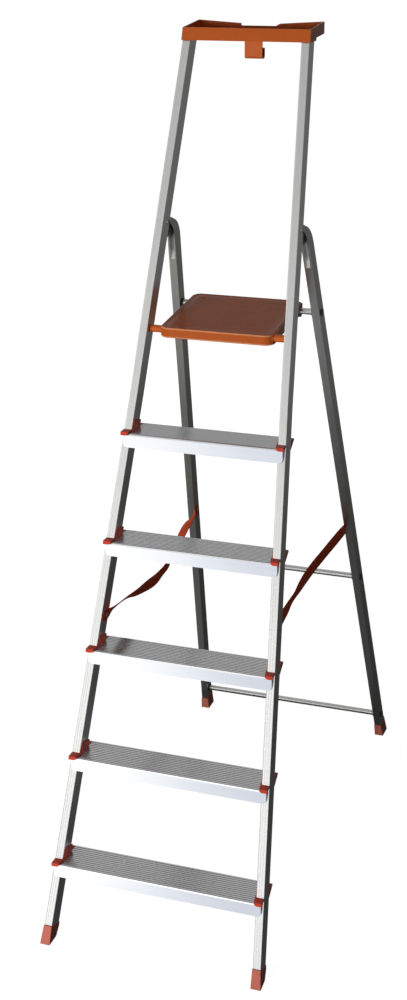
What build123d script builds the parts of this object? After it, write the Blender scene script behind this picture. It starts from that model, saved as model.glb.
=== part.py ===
from build123d import *
import os
from math import radians, sin, cos, tan, sqrt, asin, atan2

os.makedirs("parts", exist_ok=True)

# Platform stepladder, sizes in millimetres. Z is up, the climber stands on the -Y side.

# Stiles of the front frame
stile_lean = 20.04
stile_width = 17.5
stile_depth = 42.0
stile_wall = 1.6
stile_edge = 2.0
base_half_width = 252.4
knee_height = 1158.0
knee_half_width = 178.3
stile_top_height = 1893.0
upper_taper = 0.052
groove_width = 1.2
groove_depth = 0.5
groove_insets = (5.4, 10.9)
# Raw solids run this far past the place where they are cut off
cut_margin = 60.0

# Treads
tread_count = 5
tread_pitch = 225.0
first_tread_height = 177.3
tread_depth = 81.6
tread_overhang = 15.0
tread_end_inset = 3.0
lip_height = 31.5
lip_thickness = 2.0
lip_round = 4.0
lip_corner = 9.0
tread_plate = 2.2
tread_rear_flange = 18.0
tread_web_height = 12.0
tread_web_front = 24.5
tread_web_rear = 55.0
tread_rib_count = 11
tread_rib_height = 1.0
tread_valley = 2.6
tread_rib_start = 6.5

# Tread clips
clip_plate = 3.0
clip_nose_height = 4.6
clip_nose_plate = 3.5
clip_nose_lap = 3.6
clip_nose_width = 17.0
clip_nose_corner = 4.5
clip_gusset_set = 8.0
clip_gusset_height = 22.0
clip_gusset_rear = 14.0
clip_lug_length = 25.0
clip_lug_edge = 4.0
clip_lug_drop = 18.0
clip_drop = 32.0
rivet_radius = 2.4
rivet_head_radius = 4.2
rivet_head_height = 1.6
rivet_tail_spread = 0.8
rivet_tail_length = 1.4
rivet_sides = 10
rivet_drop = 16.0

# Feet
foot_wall = 3.0
foot_rim = 1.0
foot_sole = 6.0
front_foot_height = 38.5
front_heel = 33.0
front_heel_rise = 19.0
rear_foot_height = 34.5

# Hinge between the frames
hinge_height = 1501.5
hinge_inset = 12.0
hinge_pin_radius = 4.0
hinge_head_radius = 5.5
hinge_head_height = 1.8
eye_radius = 9.5
running_clearance = 0.05
block_side_clearance = 0.6
arch_clearance = 1.0

# Rear legs
leg_lean = 19.08
leg_width = 17.5
leg_depth = 36.0
leg_wall = 1.6
leg_edge = 2.0
leg_set_back = 32.7
leg_base_half_width = 262.1
leg_hinge_inset = 1.45
arch_radius = 68.0
arch_start = -70.5
arch_end_slope = 38.0
dish_low = -114.5
dish_rise = 51.5
dish_depth = 18.2
dish_rim = 3.6
flange_start = -62.0
flange_end = -12.0
block_bottom = -48.0
block_toe = 19.7
block_rivet_set = 43.7
block_rivet_drop = 34.0
block_pad = 3.0

# Round bars between the legs
bar_radius = 7.0
bar_wall = 1.2
bar_end_set = 0.2
bar_heights = {"platform_bar": 1293.0, "middle_bar": 545.0, "lower_bar": 68.5}
collar_radius = 9.5
collar_length = 4.0
collar_sides = 20
plug_radius = 8.5
plug_flange = 1.4
plug_length = 10.0
bar_clearance = 0.5

# Platform
platform_pivot_height = 1285.3
platform_bar_drop = 11.37
platform_top = 10.5
platform_front = 17.5
platform_rear_reach = 6.0
platform_half_front = 128.0
platform_half_rear = 122.0
platform_plate = 3.0
platform_wall = 3.0
platform_skirt = 23.0
platform_rear_skirt = 9.5
platform_corner = 14.0
platform_frame = 14.0
platform_panel_drop = 1.0
platform_rib_count = 26
platform_rib_width = 3.4
platform_panel_margin = 5.0
platform_lip = 1.2
platform_lip_height = 2.4
platform_edge = 1.5
platform_hole_radius = 3.0
platform_hole_x = 98.0
platform_hole_set = 193.0
under_rib_half = 1.0
under_rib_rise = 6.0
under_ribs_along = 3
under_ribs_across = 4
skirt_rise_start = 60.0
pin_radius = 8.0
pin_inside = 14.0
pin_boss_wall = 3.0
pin_spigot_radius = 5.0
pin_end_gap = 0.8

# Platform clips over the platform bar
hook_radius = 18.5
hook_clearance = 0.3
hook_inner = 107.0
hook_side_gap = 1.0
hook_cheek = 5.0
hook_mouth_angle = 38.0
hook_mouth_run = 30.0
hook_screw_set = 12.0
hook_screw_depth = 9.0
hook_cheek_rear = 7.0
hook_cheek_front = 3.0

# Tool tray, heights measured from the stiles' tops
tray_end_cover = 1.93
tray_wall = 2.4
tray_bottom_drop = 13.0
tray_apron_drop = 19.0
tray_front_rise = 7.0
tray_back_rise = 16.0
tray_back_dip = 6.0
tray_depth = 106.0
tray_floor = 3.0
tray_floor_rise = 4.0
tray_cap_drop = 3.0
tray_notch_half = 44.0
tray_notch_drop = 5.0
tray_notch_slope = 10.0
tray_rivet_drop = 4.5

# Bucket hook
bucket_width = 40.0
bucket_thickness = 3.0
bucket_drop = 47.0
bucket_set = 58.0
bucket_bend = 4.0
bucket_screw_gap = 18.0
bucket_gap = 14.0
bucket_return = 22.0
bucket_flange = 20.0
screw_radius = 2.0
screw_head_radius = 3.8
screw_head_height = 1.6

# Straps
strap_width = 25.0
strap_thickness = 1.6
strap_front_height = 687.0
strap_front_set = 27.0
strap_rear_height = 697.0
strap_rear_set = 15.0
strap_tail = 14.0
strap_bend = 22.0
strap_sag_left = 62.0
strap_sag_right = 14.0
strap_gap = 0.3
strap_rivet_radius = 2.5
strap_washer_radius = 6.5
strap_washer_height = 1.5

# Derived directions
ca, sa, ta = cos(radians(stile_lean)), sin(radians(stile_lean)), tan(radians(stile_lean))
cb, sb, tb = cos(radians(leg_lean)), sin(radians(leg_lean)), tan(radians(leg_lean))
stile_back = (0, ca, -sa)
leg_back = (0, cb, sb)

# Front and rear edge of the ladder on the floor, placed evenly about Y = 0
hinge_behind_front = hinge_height * ta + (stile_depth - hinge_inset) / ca
leg_front_floor = hinge_behind_front + leg_set_back / cb + hinge_height * tb
front_edge = -foot_wall / ca
rear_edge = leg_front_floor + (leg_depth + foot_wall) / cb
front_y = -(front_edge + rear_edge) / 2
hinge_y = front_y + hinge_behind_front

front_plane = Plane(origin=(0, front_y, 0), x_dir=(1, 0, 0), z_dir=(0, -ca, sa))
leg_plane = Plane(origin=(0, hinge_y, hinge_height), x_dir=(1, 0, 0), z_dir=(0, -cb, -sb))
knee_u = knee_height / ca
# Longer than the ladder in any direction
far = 2 * stile_top_height


def half_width(z):
    """Half width over the stiles' outer faces at height z on their front faces."""
    if z < knee_height:
        return base_half_width - (base_half_width - knee_half_width) * z / knee_height
    return knee_half_width - upper_taper * (z - knee_height)


def stile_front(z):
    return front_y + z * ta


def stile_u(y, z):
    """Distance along the stile of a point in the side view."""
    return (y - front_y) * sa + z * ca


def inner_x(y, z):
    """Inner face of the right stile at a point in the side view."""
    return half_width(stile_u(y, z) * ca) - stile_width


def leg_u(y, z):
    return -(y - hinge_y) * sb + (z - hinge_height) * cb


hinge_half_width = half_width(stile_u(hinge_y, hinge_height) * ca)
leg_taper = leg_base_half_width - (hinge_half_width - leg_hinge_inset)
leg_taper /= hinge_height + leg_set_back * sb


def leg_half(u):
    """Half width over the legs' outer faces, u measured up the leg from the hinge."""
    return leg_base_half_width - leg_taper * (hinge_height + leg_set_back * sb + u * cb)


def leg_point(q, u):
    return hinge_y + q * cb - u * sb, hinge_height + q * sb + u * cb


def prism(plane, points, depth, direction):
    face = make_face(plane * Polyline(*points, close=True))
    return extrude(face, amount=depth, dir=direction)


def stile_prism(d0, d1, v0, v1, u0, u1):
    """Strip of the right stile between two insets, from depth v0 to v1 behind its front face."""
    us = [u0] + ([knee_u] if u0 < knee_u < u1 else []) + [u1]
    points = [(half_width(u * ca) - d0, u) for u in us]
    points += [(half_width(u * ca) - d1, u) for u in reversed(us)]
    return prism(front_plane.offset(-v0), points, v1 - v0, stile_back)


def leg_prism(d0, d1, q0, q1, u0, u1):
    """Strip of the right leg between two insets, from q0 to q1 behind the hinge axis."""
    points = [(leg_half(u0) - d0, u0), (leg_half(u1) - d0, u1)]
    points += [(leg_half(u1) - d1, u1), (leg_half(u0) - d1, u0)]
    return prism(leg_plane.offset(-q0), points, q1 - q0, leg_back)


def side_solid(outline, x0, x1):
    """Side-view outline of (Y, Z) points drawn at x0 and carried to x1."""
    return prism(Plane.YZ.offset(x0), outline, x1 - x0, (1, 0, 0))


def section(radius, sides):
    return RegularPolygon(radius, sides) if sides else Circle(radius)


def cyl_x(y, z, radius, x0, x1, sides=0):
    """Bar along X, round or, for a small fastener and its hole, with flat sides."""
    base = Plane(origin=(x0, y, z), x_dir=(0, 1, 0), z_dir=(1, 0, 0))
    return extrude(base * section(radius, sides), amount=x1 - x0, dir=(1, 0, 0))


def cyl_z(x, y, radius, z0, z1):
    base = Plane(origin=(x, y, z0), x_dir=(1, 0, 0), z_dir=(0, 0, 1))
    return extrude(base * section(radius, rivet_sides), amount=z1 - z0, dir=(0, 0, 1))


def above(z):
    return Box(far, far, far, align=(Align.CENTER, Align.CENTER, Align.MIN)).moved(Location((0, 0, z)))


def foot_outline(half, width, u_floor, u_top):
    """Outline of a foot that widens from its thin rim at the top to its full wall at the floor."""
    flare = (foot_wall - foot_rim) / (u_top - u_floor)
    u_low = u_floor - cut_margin
    low_wall = foot_wall + flare * cut_margin
    points = [(half(u_low) + low_wall, u_low), (half(u_top) + foot_rim, u_top)]
    points += [(half(u_top) - width - foot_rim, u_top), (half(u_low) - width - low_wall, u_low)]
    return points


def before_heel(inset):
    """All that lies in front of the front foot's sloping heel, moved forward by an inset."""
    heel_top_y = stile_front(front_heel_rise) + (stile_depth + foot_rim) / ca
    run = (heel_top_y - front_y - front_heel) / front_heel_rise
    floor_y = front_y + front_heel - inset * sqrt(1 + run ** 2)
    low, high = -cut_margin, stile_top_height + cut_margin
    outline = [(floor_y + run * low, low), (floor_y + run * high, high), (-far, high), (-far, low)]
    return side_solid(outline, 0, far)


def one(shape):
    """The single solid of a shape."""
    return max(shape.solids(), key=lambda s: s.volume)


def flip(shape):
    return mirror(shape, about=Plane.YZ)


def save(name, shapes):
    shapes = shapes if isinstance(shapes, list) else [shapes]
    solids = [s for shape in shapes for s in shape.solids()]
    body = solids[0] if len(solids) == 1 else Compound(children=solids)
    body.label = name
    export_step(body, f"parts/{name}.step")


def save_pair(name, right):
    save(f"{name}_right", one(right))
    save(f"{name}_left", one(flip(right)))


def long_edges(shape, direction, least):
    """Straight edges that run roughly along a direction."""
    chosen = []
    for edge in shape.edges():
        if edge.length > least and abs((edge % 0.5).dot(Vector(*direction))) > 0.99:
            chosen.append(edge)
    return chosen


# Reach of the stiles and the legs, used to cut every piece that fits round them
stile_top_u = (stile_top_height + stile_depth * sa) / ca
low_u = -hinge_height / cb - 2 * cut_margin
stile_reach = stile_prism(0, stile_width, 0, stile_depth, -cut_margin, stile_top_u)
leg_reach = leg_prism(0, leg_width, leg_set_back, leg_set_back + leg_depth, low_u, flange_start)

# Places of the rivets and pins in the side view
tread_tops = [first_tread_height + tread_pitch * n for n in range(tread_count)]
mid_v = stile_depth / 2
pivot_y = stile_front(platform_pivot_height) + mid_v / ca
pivot_z = platform_pivot_height
bar_q = leg_set_back + leg_depth / 2


def bar_place(z):
    u = (z - hinge_height - bar_q * sb) / cb
    return leg_point(bar_q, u)


# Tread rivets: one through each clip and the stile's inner wall
rivet_places = []
for top in tread_tops:
    z = top - rivet_drop
    rivet_places.append((stile_front(z) + mid_v / ca, z))

# Stiles
stile = fillet(long_edges(stile_reach, (0, sa, ca), stile_top_u / 4), stile_edge)
whole_length = (-2 * cut_margin, stile_top_u + cut_margin)
stile -= stile_prism(stile_wall, stile_width - stile_wall, stile_wall, stile_depth + cut_margin,
                     *whole_length)
for inset in groove_insets:
    stile -= stile_prism(inset, inset + groove_width, -groove_depth, groove_depth, *whole_length)
stile &= above(foot_sole) & before_heel(foot_wall)
stile -= above(stile_top_height)
stile -= cyl_x(hinge_y, hinge_height, hinge_pin_radius, 0, far)
strap_front_y = stile_front(strap_front_height) + strap_front_set / ca
tray_rivet_height = stile_top_height - tray_rivet_drop
tray_rivet_y = stile_front(tray_rivet_height) + mid_v / ca
# Holes in the inner wall only
inner_holes = [(pivot_y, pivot_z, pin_spigot_radius + running_clearance, 0),
               (strap_front_y, strap_front_height, strap_rivet_radius, rivet_sides),
               (tray_rivet_y, tray_rivet_height, rivet_radius, rivet_sides)]
inner_holes += [(y, z, rivet_radius, rivet_sides) for y, z in rivet_places]
for y, z, radius, sides in inner_holes:
    stile -= cyl_x(y, z, radius, 0, inner_x(y, z) + stile_width / 2, sides)
save_pair("stile", stile)

# Treads: one extruded profile, cut back at both ends for the stiles and clips
tread_pitch_rib = (tread_depth - tread_rib_start) / tread_rib_count
lip_round_mid = lip_round * (1 - sqrt(0.5))


def tread_profile(y0, top):
    points = [(0, -lip_height), (0, -lip_round)]
    points += [(lip_round_mid, -lip_round_mid), (lip_round, 0)]
    for n in range(tread_rib_count):
        y = tread_rib_start + n * tread_pitch_rib
        points += [(y, 0), (y, -tread_rib_height)]
        points += [(y + tread_valley, -tread_rib_height), (y + tread_valley, 0)]
    under = -tread_rib_height - tread_plate
    points += [(tread_depth, 0), (tread_depth, -tread_rear_flange)]
    points += [(tread_depth - lip_thickness, -tread_rear_flange), (tread_depth - lip_thickness, under)]
    for y in (tread_web_rear, tread_web_front):
        points += [(y, under), (y, under - tread_web_height)]
        points += [(y - lip_thickness, under - tread_web_height), (y - lip_thickness, under)]
    points += [(lip_thickness, under), (lip_thickness, -lip_height)]
    return [(y0 + y, top + z) for y, z in points]


treads = []
for top in tread_tops:
    half = half_width(top) - tread_end_inset
    y0 = stile_front(top) - tread_overhang
    tread = side_solid(tread_profile(y0, top), -half, half)
    u = stile_u(stile_front(top), top)
    cut = stile_prism(-cut_margin, stile_width + clip_plate, 0, 2 * tread_depth,
                      u - tread_depth, u + tread_depth)
    tread = tread - cut - flip(cut)
    corners = []
    for edge in tread.edges().filter_by(Axis.Y):
        place = edge.center()
        if abs(abs(place.X) - half) < 0.1 and abs(place.Z - top + lip_height) < 0.1:
            corners.append(edge)
    tread = fillet(corners, lip_corner)
    treads.append(one(tread))
for n, tread in enumerate(treads):
    save(f"tread_{n + 1}", tread)

# Tread clips: nose, gusset and rear lug round the stile
stile_span = stile_depth / ca
clip_nose_front = tread_overhang + clip_nose_plate
clip_width = stile_width + clip_plate
clip_rivets = []
for n, top in enumerate(tread_tops):
    y0 = stile_front(top)
    outline = [
        (-clip_drop * ta, -clip_drop),
        (0, 0),
        (-tread_overhang, 0),
        (-tread_overhang, -clip_nose_lap),
        (-clip_nose_front, -clip_nose_lap),
        (-clip_nose_front, clip_nose_height),
        (clip_nose_height * ta, clip_nose_height),
        (clip_nose_height * ta + clip_gusset_set, clip_nose_height),
        (clip_gusset_height * ta + 2 * clip_gusset_set, clip_gusset_height),
        (clip_gusset_rear * ta + stile_span, clip_gusset_rear),
        (stile_span, 0),
        (stile_span + clip_lug_length - clip_lug_edge, 0),
        (stile_span + clip_lug_length, -clip_lug_edge),
        (stile_span - clip_lug_drop * ta, -clip_lug_drop),
        (stile_span - clip_drop * ta, -clip_drop),
    ]
    outline = [(y0 + y, top + z) for y, z in outline]
    clip = side_solid(outline, 0, far)
    u = stile_u(y0, top)
    u0, u1 = u - 3 * clip_drop, u + 3 * clip_drop
    clip &= stile_prism(0, clip_width, -2 * clip_nose_front, 2 * stile_depth, u0, u1)
    clip -= stile_reach
    outer_x = half_width(top)
    # The nose narrows towards its front, and its lap towards its lower edge
    plan = [(outer_x - clip_width, y0), (outer_x - clip_nose_width, y0 - clip_nose_front)]
    plan += [(outer_x - 2 * clip_width, y0 - clip_nose_front), (outer_x - 2 * clip_width, y0)]
    clip -= prism(Plane(origin=(0, 0, top - clip_drop)), plan, 2 * clip_drop, (0, 0, 1))
    front = [(outer_x - clip_nose_width, 0), (outer_x - clip_nose_width + clip_nose_corner, -clip_nose_lap)]
    front += [(outer_x - 2 * clip_width, -clip_nose_lap), (outer_x - 2 * clip_width, 0)]
    nose_plane = Plane(origin=(0, y0 - clip_nose_front, top), x_dir=(1, 0, 0), z_dir=(0, -1, 0))
    clip -= prism(nose_plane, front, clip_nose_plate, (0, 1, 0))
    y, z = rivet_places[n]
    x = inner_x(y, z)
    clip -= cyl_x(y, z, rivet_radius, 0, far, rivet_sides)
    clip = one(clip)
    save_pair(f"tread_clip_{n + 1}", clip)
    grip = stile_prism(stile_width - stile_wall, stile_width + clip_plate, 0, stile_depth, u0, u1)
    tail_x = x + stile_wall + rivet_tail_length
    shank = cyl_x(y, z, rivet_radius, x - clip_plate - rivet_head_height / 2, tail_x, rivet_sides)
    head = cyl_x(y, z, rivet_head_radius, x - clip_plate - rivet_head_height, x, rivet_sides) - grip
    tail = cyl_x(y, z, rivet_radius + rivet_tail_spread, x, tail_x, rivet_sides) - grip
    clip_rivets.append(one(shank + head + tail))
save("tread_rivets", clip_rivets + [one(flip(r)) for r in clip_rivets])

# Front feet
outline = foot_outline(lambda u: half_width(u * ca), stile_width, 0, front_foot_height / ca)
foot = prism(front_plane.offset(foot_wall), outline, foot_wall + stile_depth + foot_rim, stile_back)
foot = fillet(long_edges(foot, (0, sa, ca), cut_margin), stile_edge)
foot &= above(0) & before_heel(0)
foot -= stile_reach & above(foot_sole) & before_heel(foot_wall)
save_pair("front_foot", foot)

# Hinge pins, fixed in the stiles
hinge_x = inner_x(hinge_y, hinge_height)
pin_shank = cyl_x(hinge_y, hinge_height, hinge_pin_radius, hinge_x - hinge_head_height / 2,
                  hinge_x + stile_width + hinge_head_height / 2)
pin_heads = cyl_x(hinge_y, hinge_height, hinge_head_radius, hinge_x - hinge_head_height,
                  hinge_x + stile_width + hinge_head_height, collar_sides)
hinge_pin = one(pin_shank + (pin_heads - stile_reach))
save_pair("hinge_pin", hinge_pin)

# Rear legs: tube below, open arch above that reaches forward to the stile
leg_side = Plane(origin=(0, hinge_y, hinge_height), x_dir=(0, cb, sb), z_dir=(1, 0, 0))
leg_rear = leg_set_back + leg_depth
arch_centre = leg_rear - arch_radius
# Nearest the arch may come to the stile's rear face, open and folded
folded_limit = hinge_inset + arch_clearance


def arch_bend(radius):
    """Point where an arc about the arch's centre runs out into the straight end."""
    turn = radians(arch_end_slope)
    return arch_centre + radius * sin(turn), arch_start + radius * cos(turn)


def arch_end(radius, q):
    """Point of the arch's straight end, q behind the hinge."""
    bend_q, bend_u = arch_bend(radius)
    return q, bend_u + (bend_q - q) * tan(radians(arch_end_slope))


def arch_arc(radius, start, finish):
    """Arc about the arch's centre between two points of its circle."""
    centre = Vector(arch_centre, arch_start)
    middle = centre + ((Vector(*start) + Vector(*finish)) / 2 - centre).normalized() * radius
    return ThreePointArc(start, (middle.X, middle.Y), finish)


def leg_carry(lines):
    """Side outline in q and u, carried across the leg."""
    return extrude(make_face(leg_side * lines), amount=far, dir=(1, 0, 0))


top_point = arch_end(arch_radius, folded_limit)
lines = Line((leg_set_back, low_u), (leg_rear, low_u)) + Line((leg_rear, low_u), (leg_rear, arch_start))
lines += arch_arc(arch_radius, (leg_rear, arch_start), arch_bend(arch_radius))
lines += Line(arch_bend(arch_radius), top_point)
flange_rise = flange_end - flange_start
flange_in = leg_set_back - folded_limit
flange_radius = (flange_rise ** 2 + flange_in ** 2) / (2 * flange_in)
half_rise = flange_rise / 2
flange_mid_q = leg_set_back - flange_radius + sqrt(flange_radius ** 2 - half_rise ** 2)
lines += Line(top_point, (folded_limit, flange_end))
lines += ThreePointArc((folded_limit, flange_end), (flange_mid_q, flange_start + half_rise),
                       (leg_set_back, flange_start))
lines += Line((leg_set_back, flange_start), (leg_set_back, low_u))
leg_shape = leg_carry(lines)
leg = leg_prism(0, leg_width, -cut_margin, leg_rear + cut_margin, low_u + cut_margin / 2, cut_margin)
leg = leg & leg_shape
inner_front = leg_set_back + leg_wall
inner_rear = leg_rear - leg_wall
inner_radius = arch_radius - leg_wall
inner_bend = arch_bend(inner_radius)
inner_lines = arch_arc(inner_radius, (inner_rear, arch_start), inner_bend)
inner_lines += Polyline(inner_bend, arch_end(inner_radius, -cut_margin), (-cut_margin, dish_low),
                        (inner_front, dish_low), (inner_front, low_u), (inner_rear, low_u),
                        (inner_rear, arch_start))
hollow = leg_carry(inner_lines)
hollow &= leg_prism(leg_wall, leg_width - leg_wall, -2 * cut_margin, leg_rear, low_u - cut_margin, cut_margin)
leg -= hollow
# Below the open arch the front wall is pressed in to a round hollow between two rims
dish_front = leg_set_back + leg_wall / 2
dish_radius = (dish_depth ** 2 + dish_rise ** 2) / (2 * dish_depth)
dish_deepest = dish_low + dish_rise


def dish_point(radius, u):
    return dish_front + dish_depth - dish_radius + sqrt(radius ** 2 - (u - dish_deepest) ** 2), u


dish_ends = (dish_low - leg_wall, dish_deepest, block_bottom - arch_clearance)
dish_face = [dish_point(dish_radius, u) for u in dish_ends]
dish_back = [dish_point(dish_radius + leg_wall, u) for u in dish_ends]
dish_lines = ThreePointArc(*dish_face) + ThreePointArc(*dish_back)
dish_lines += Line(dish_face[0], dish_back[0]) + Line(dish_face[2], dish_back[2])
dish = leg_carry(dish_lines) & leg_shape
leg += dish & leg_prism(leg_wall / 2, leg_width - leg_wall / 2, 0, leg_rear, low_u, cut_margin)
rim_lines = ThreePointArc(*dish_back)
rim_lines += Polyline(dish_back[0], (0, dish_ends[0]), (0, dish_ends[2]), dish_back[2])
rim_shape = leg_carry(rim_lines) & leg_shape
for rim in ((leg_wall / 2, dish_rim), (leg_width - dish_rim, leg_width - leg_wall / 2)):
    leg += rim_shape & leg_prism(*rim, 0, leg_rear, low_u, cut_margin)
# The open arch stays behind the stile's rear face
stile_keep = stile_prism(-cut_margin, stile_width + cut_margin, -4 * stile_depth,
                         stile_depth + arch_clearance, hinge_height - 2 * arch_radius, stile_top_u)
leg -= stile_keep
leg &= above(foot_sole)
for z in bar_heights.values():
    by, bz = bar_place(z)
    leg -= cyl_x(by, bz, bar_radius, 0, far)
strap_rear_u = (strap_rear_height - hinge_height - (leg_set_back + strap_rear_set) * sb) / cb
strap_rear_y, strap_rear_z = leg_point(leg_set_back + strap_rear_set, strap_rear_u)
strap_hole_end = leg_half(strap_rear_u) - leg_width / 2
leg -= cyl_x(strap_rear_y, strap_rear_z, strap_rivet_radius, 0, strap_hole_end, rivet_sides)
block_y, block_z = leg_point(block_rivet_set, -block_rivet_drop)
leg -= cyl_x(block_y, block_z, rivet_radius, 0, far, rivet_sides)
leg = one(leg)
save_pair("rear_leg", leg)

# Hinge blocks: fixed in the arch, with the eye that turns on the pin
block_in = block_side_clearance + leg_wall
block_corner_q = arch_centre + sqrt(inner_radius ** 2 - (block_bottom - arch_start) ** 2)
block_lines = Polyline(inner_bend, (0, eye_radius), (0, -eye_radius), (block_toe, block_bottom),
                       (block_corner_q, block_bottom))
block_lines += arch_arc(inner_radius, (block_corner_q, block_bottom), inner_bend)
block = leg_carry(block_lines)
block += cyl_x(hinge_y, hinge_height, eye_radius, 0, far)
block &= leg_prism(block_in, leg_width - block_in, -cut_margin, leg_rear, -2 * cut_margin, cut_margin)
# The part inside the stile keeps clear of the stile's side walls at every angle
folded_reach = eye_radius - (block_bottom + eye_radius) * hinge_inset / block_toe
inner_room = stile_wall + block_side_clearance + upper_taper * folded_reach
outer_room = stile_wall + block_side_clearance + upper_taper * eye_radius
around_hinge = [(hinge_y - far, hinge_height - far), (hinge_y + far, hinge_height - far),
                (hinge_y + far, hinge_height + far), (hinge_y - far, hinge_height + far)]
block &= side_solid(around_hinge, hinge_x + inner_room, hinge_x + stile_width - outer_room)
pads = leg_prism(leg_wall, leg_width - leg_wall, 0, leg_rear, -2 * cut_margin, cut_margin)
pads &= cyl_x(block_y, block_z, rivet_head_radius + block_pad, 0, far)
block += pads
block -= cyl_x(hinge_y, hinge_height, hinge_pin_radius + running_clearance, 0, far)
block -= cyl_x(block_y, block_z, rivet_radius, 0, far, rivet_sides)
block = one(block)
save_pair("hinge_block", block)

block_x = leg_half(leg_u(block_y, block_z))
# Flush rivets through both walls of the leg and the block
block_rivet = cyl_x(block_y, block_z, rivet_radius, block_x - 2 * leg_width, block_x + leg_width, rivet_sides)
block_rivet = one(block_rivet & leg_prism(0, leg_width, -cut_margin, leg_rear, low_u, cut_margin))
save("block_rivets", [block_rivet, one(flip(block_rivet))])

# Round bars with collars and end plugs
leg_solid = leg_prism(0, leg_width, leg_set_back, leg_rear, low_u, 0)
collars = []
plugs = []
for name, z in bar_heights.items():
    by, bz = bar_place(z)
    x = leg_half(leg_u(by, bz))
    slant = leg_taper * bar_radius + bar_end_set
    end = x - slant
    tube = cyl_x(by, bz, bar_radius, -end, end) - cyl_x(by, bz, bar_radius - bar_wall, -far, far)
    save(name, one(tube))
    collar = cyl_x(by, bz, collar_radius, x - leg_width - collar_length, x - leg_width / 2, collar_sides)
    collar = one(collar - cyl_x(by, bz, bar_radius, 0, far) - leg_solid)
    collars += [collar, one(flip(collar))]
    plug = cyl_x(by, bz, plug_radius, x - leg_width / 2, x + plug_flange, collar_sides) - leg_solid
    plug -= cyl_x(by, bz, bar_radius, 0, end)
    plug += cyl_x(by, bz, bar_radius - bar_wall, end - plug_length, x + plug_flange / 2)
    plug = one(plug)
    plugs += [plug, one(flip(plug))]
save("bar_collars", collars)
save("bar_plugs", plugs)

# Rear feet
foot_top_u = (rear_foot_height - hinge_height - leg_set_back * sb) / cb
foot_floor_u = -(hinge_height + leg_set_back * sb) / cb
outline = foot_outline(leg_half, leg_width, foot_floor_u, foot_top_u)
rear_foot = prism(leg_plane.offset(foot_wall - leg_set_back), outline, leg_depth + 2 * foot_wall, leg_back)
rear_foot = fillet(long_edges(rear_foot, (0, -sb, cb), cut_margin), leg_edge)
rear_foot &= above(0)
rear_foot -= leg_reach & above(foot_sole)
low_y, low_z = bar_place(bar_heights["lower_bar"])
rear_foot -= cyl_x(low_y, low_z, collar_radius + bar_clearance, 0, far)
save_pair("rear_foot", rear_foot)

# Straps: webbing from the stiles' inner faces to the legs' inner faces
rear_face_x = leg_half(strap_rear_u) - leg_width
front_face_x = inner_x(strap_front_y, strap_front_height)
leg_keep = leg_prism(-strap_gap, leg_width + strap_gap, leg_set_back - strap_gap, leg_rear + strap_gap,
                     low_u, flange_start)
# The band lies flat against both faces at its ends, and runs straight from one to the other in plan
strap_rear_x = rear_face_x - strap_gap
plan = [
    (front_face_x, strap_front_y - strap_tail),
    (front_face_x, strap_front_y + strap_bend),
    (strap_rear_x, strap_rear_y - strap_bend),
    (strap_rear_x, strap_rear_y + strap_tail),
]
plan += [(x - strap_thickness, y) for x, y in reversed(plan)]
plan_band = prism(Plane.XY, plan, far, (0, 0, 1))
start_y, end_y = plan[0][1], plan[3][1]
mid_y = (start_y + end_y) / 2
for name, sag in (("strap_left", strap_sag_left), ("strap_right", strap_sag_right)):
    mid_z = (strap_front_height + strap_rear_z) / 2 - sag
    edges = []
    for h in (-strap_width / 2, strap_width / 2):
        edges.append(((start_y, strap_front_height + h), (mid_y, mid_z + h), (end_y, strap_rear_z + h)))
    low, high = edges
    band = ThreePointArc(*low) + ThreePointArc(*high) + Line(low[0], high[0]) + Line(low[2], high[2])
    strap = extrude(make_face(Plane.YZ * band), amount=far, dir=(1, 0, 0)) & plan_band
    strap = strap - stile_reach - leg_keep
    strap -= cyl_x(strap_front_y, strap_front_height, strap_rivet_radius, 0, far, rivet_sides)
    strap -= cyl_x(strap_rear_y, strap_rear_z, strap_rivet_radius + strap_gap, 0, far, rivet_sides)
    strap = one(strap)
    save(name, one(flip(strap)) if name == "strap_left" else strap)

front_grip = front_face_x - strap_thickness
front_shank = cyl_x(strap_front_y, strap_front_height, strap_rivet_radius,
                    front_grip - strap_washer_height / 2,
                    front_face_x + stile_wall + rivet_tail_length, rivet_sides)
front_washer = cyl_x(strap_front_y, strap_front_height, strap_washer_radius,
                     front_grip - strap_washer_height, front_grip, collar_sides)
front_rivet = one(front_shank + front_washer)
save("strap_rivets_front", [front_rivet, one(flip(front_rivet))])
rear_grip = rear_face_x - strap_thickness - 2 * strap_gap
rear_shank = cyl_x(strap_rear_y, strap_rear_z, strap_rivet_radius,
                   rear_grip - strap_washer_height / 2,
                   rear_face_x + leg_wall + rivet_tail_length, rivet_sides)
rear_washer = cyl_x(strap_rear_y, strap_rear_z, strap_washer_radius,
                    rear_grip - strap_washer_height, rear_grip, collar_sides)
rear_rivet = one(rear_shank + rear_washer)
save("strap_rivets_rear", [rear_rivet, one(flip(rear_rivet))])

# Platform, drawn in its own frame about the pivot axis, tilted so that it rests on the bar
bar_y, bar_z = bar_place(bar_heights["platform_bar"])
bar_run, bar_rise = bar_y - pivot_y, bar_z - pivot_z
bar_reach = sqrt(bar_run ** 2 + bar_rise ** 2)
platform_tilt = atan2(bar_rise, bar_run) + asin(platform_bar_drop / bar_reach)
ct, st = cos(platform_tilt), sin(platform_tilt)
bar_a = sqrt(bar_reach ** 2 - platform_bar_drop ** 2)
bar_b = -platform_bar_drop
pan = Plane(origin=(0, pivot_y, pivot_z), x_dir=(1, 0, 0), z_dir=(0, -st, ct))
pan_side = Plane(origin=(0, pivot_y, pivot_z), x_dir=(0, ct, st), z_dir=(1, 0, 0))
pan_up = (0, -st, ct)
pan_rear = bar_a + platform_rear_reach


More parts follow.
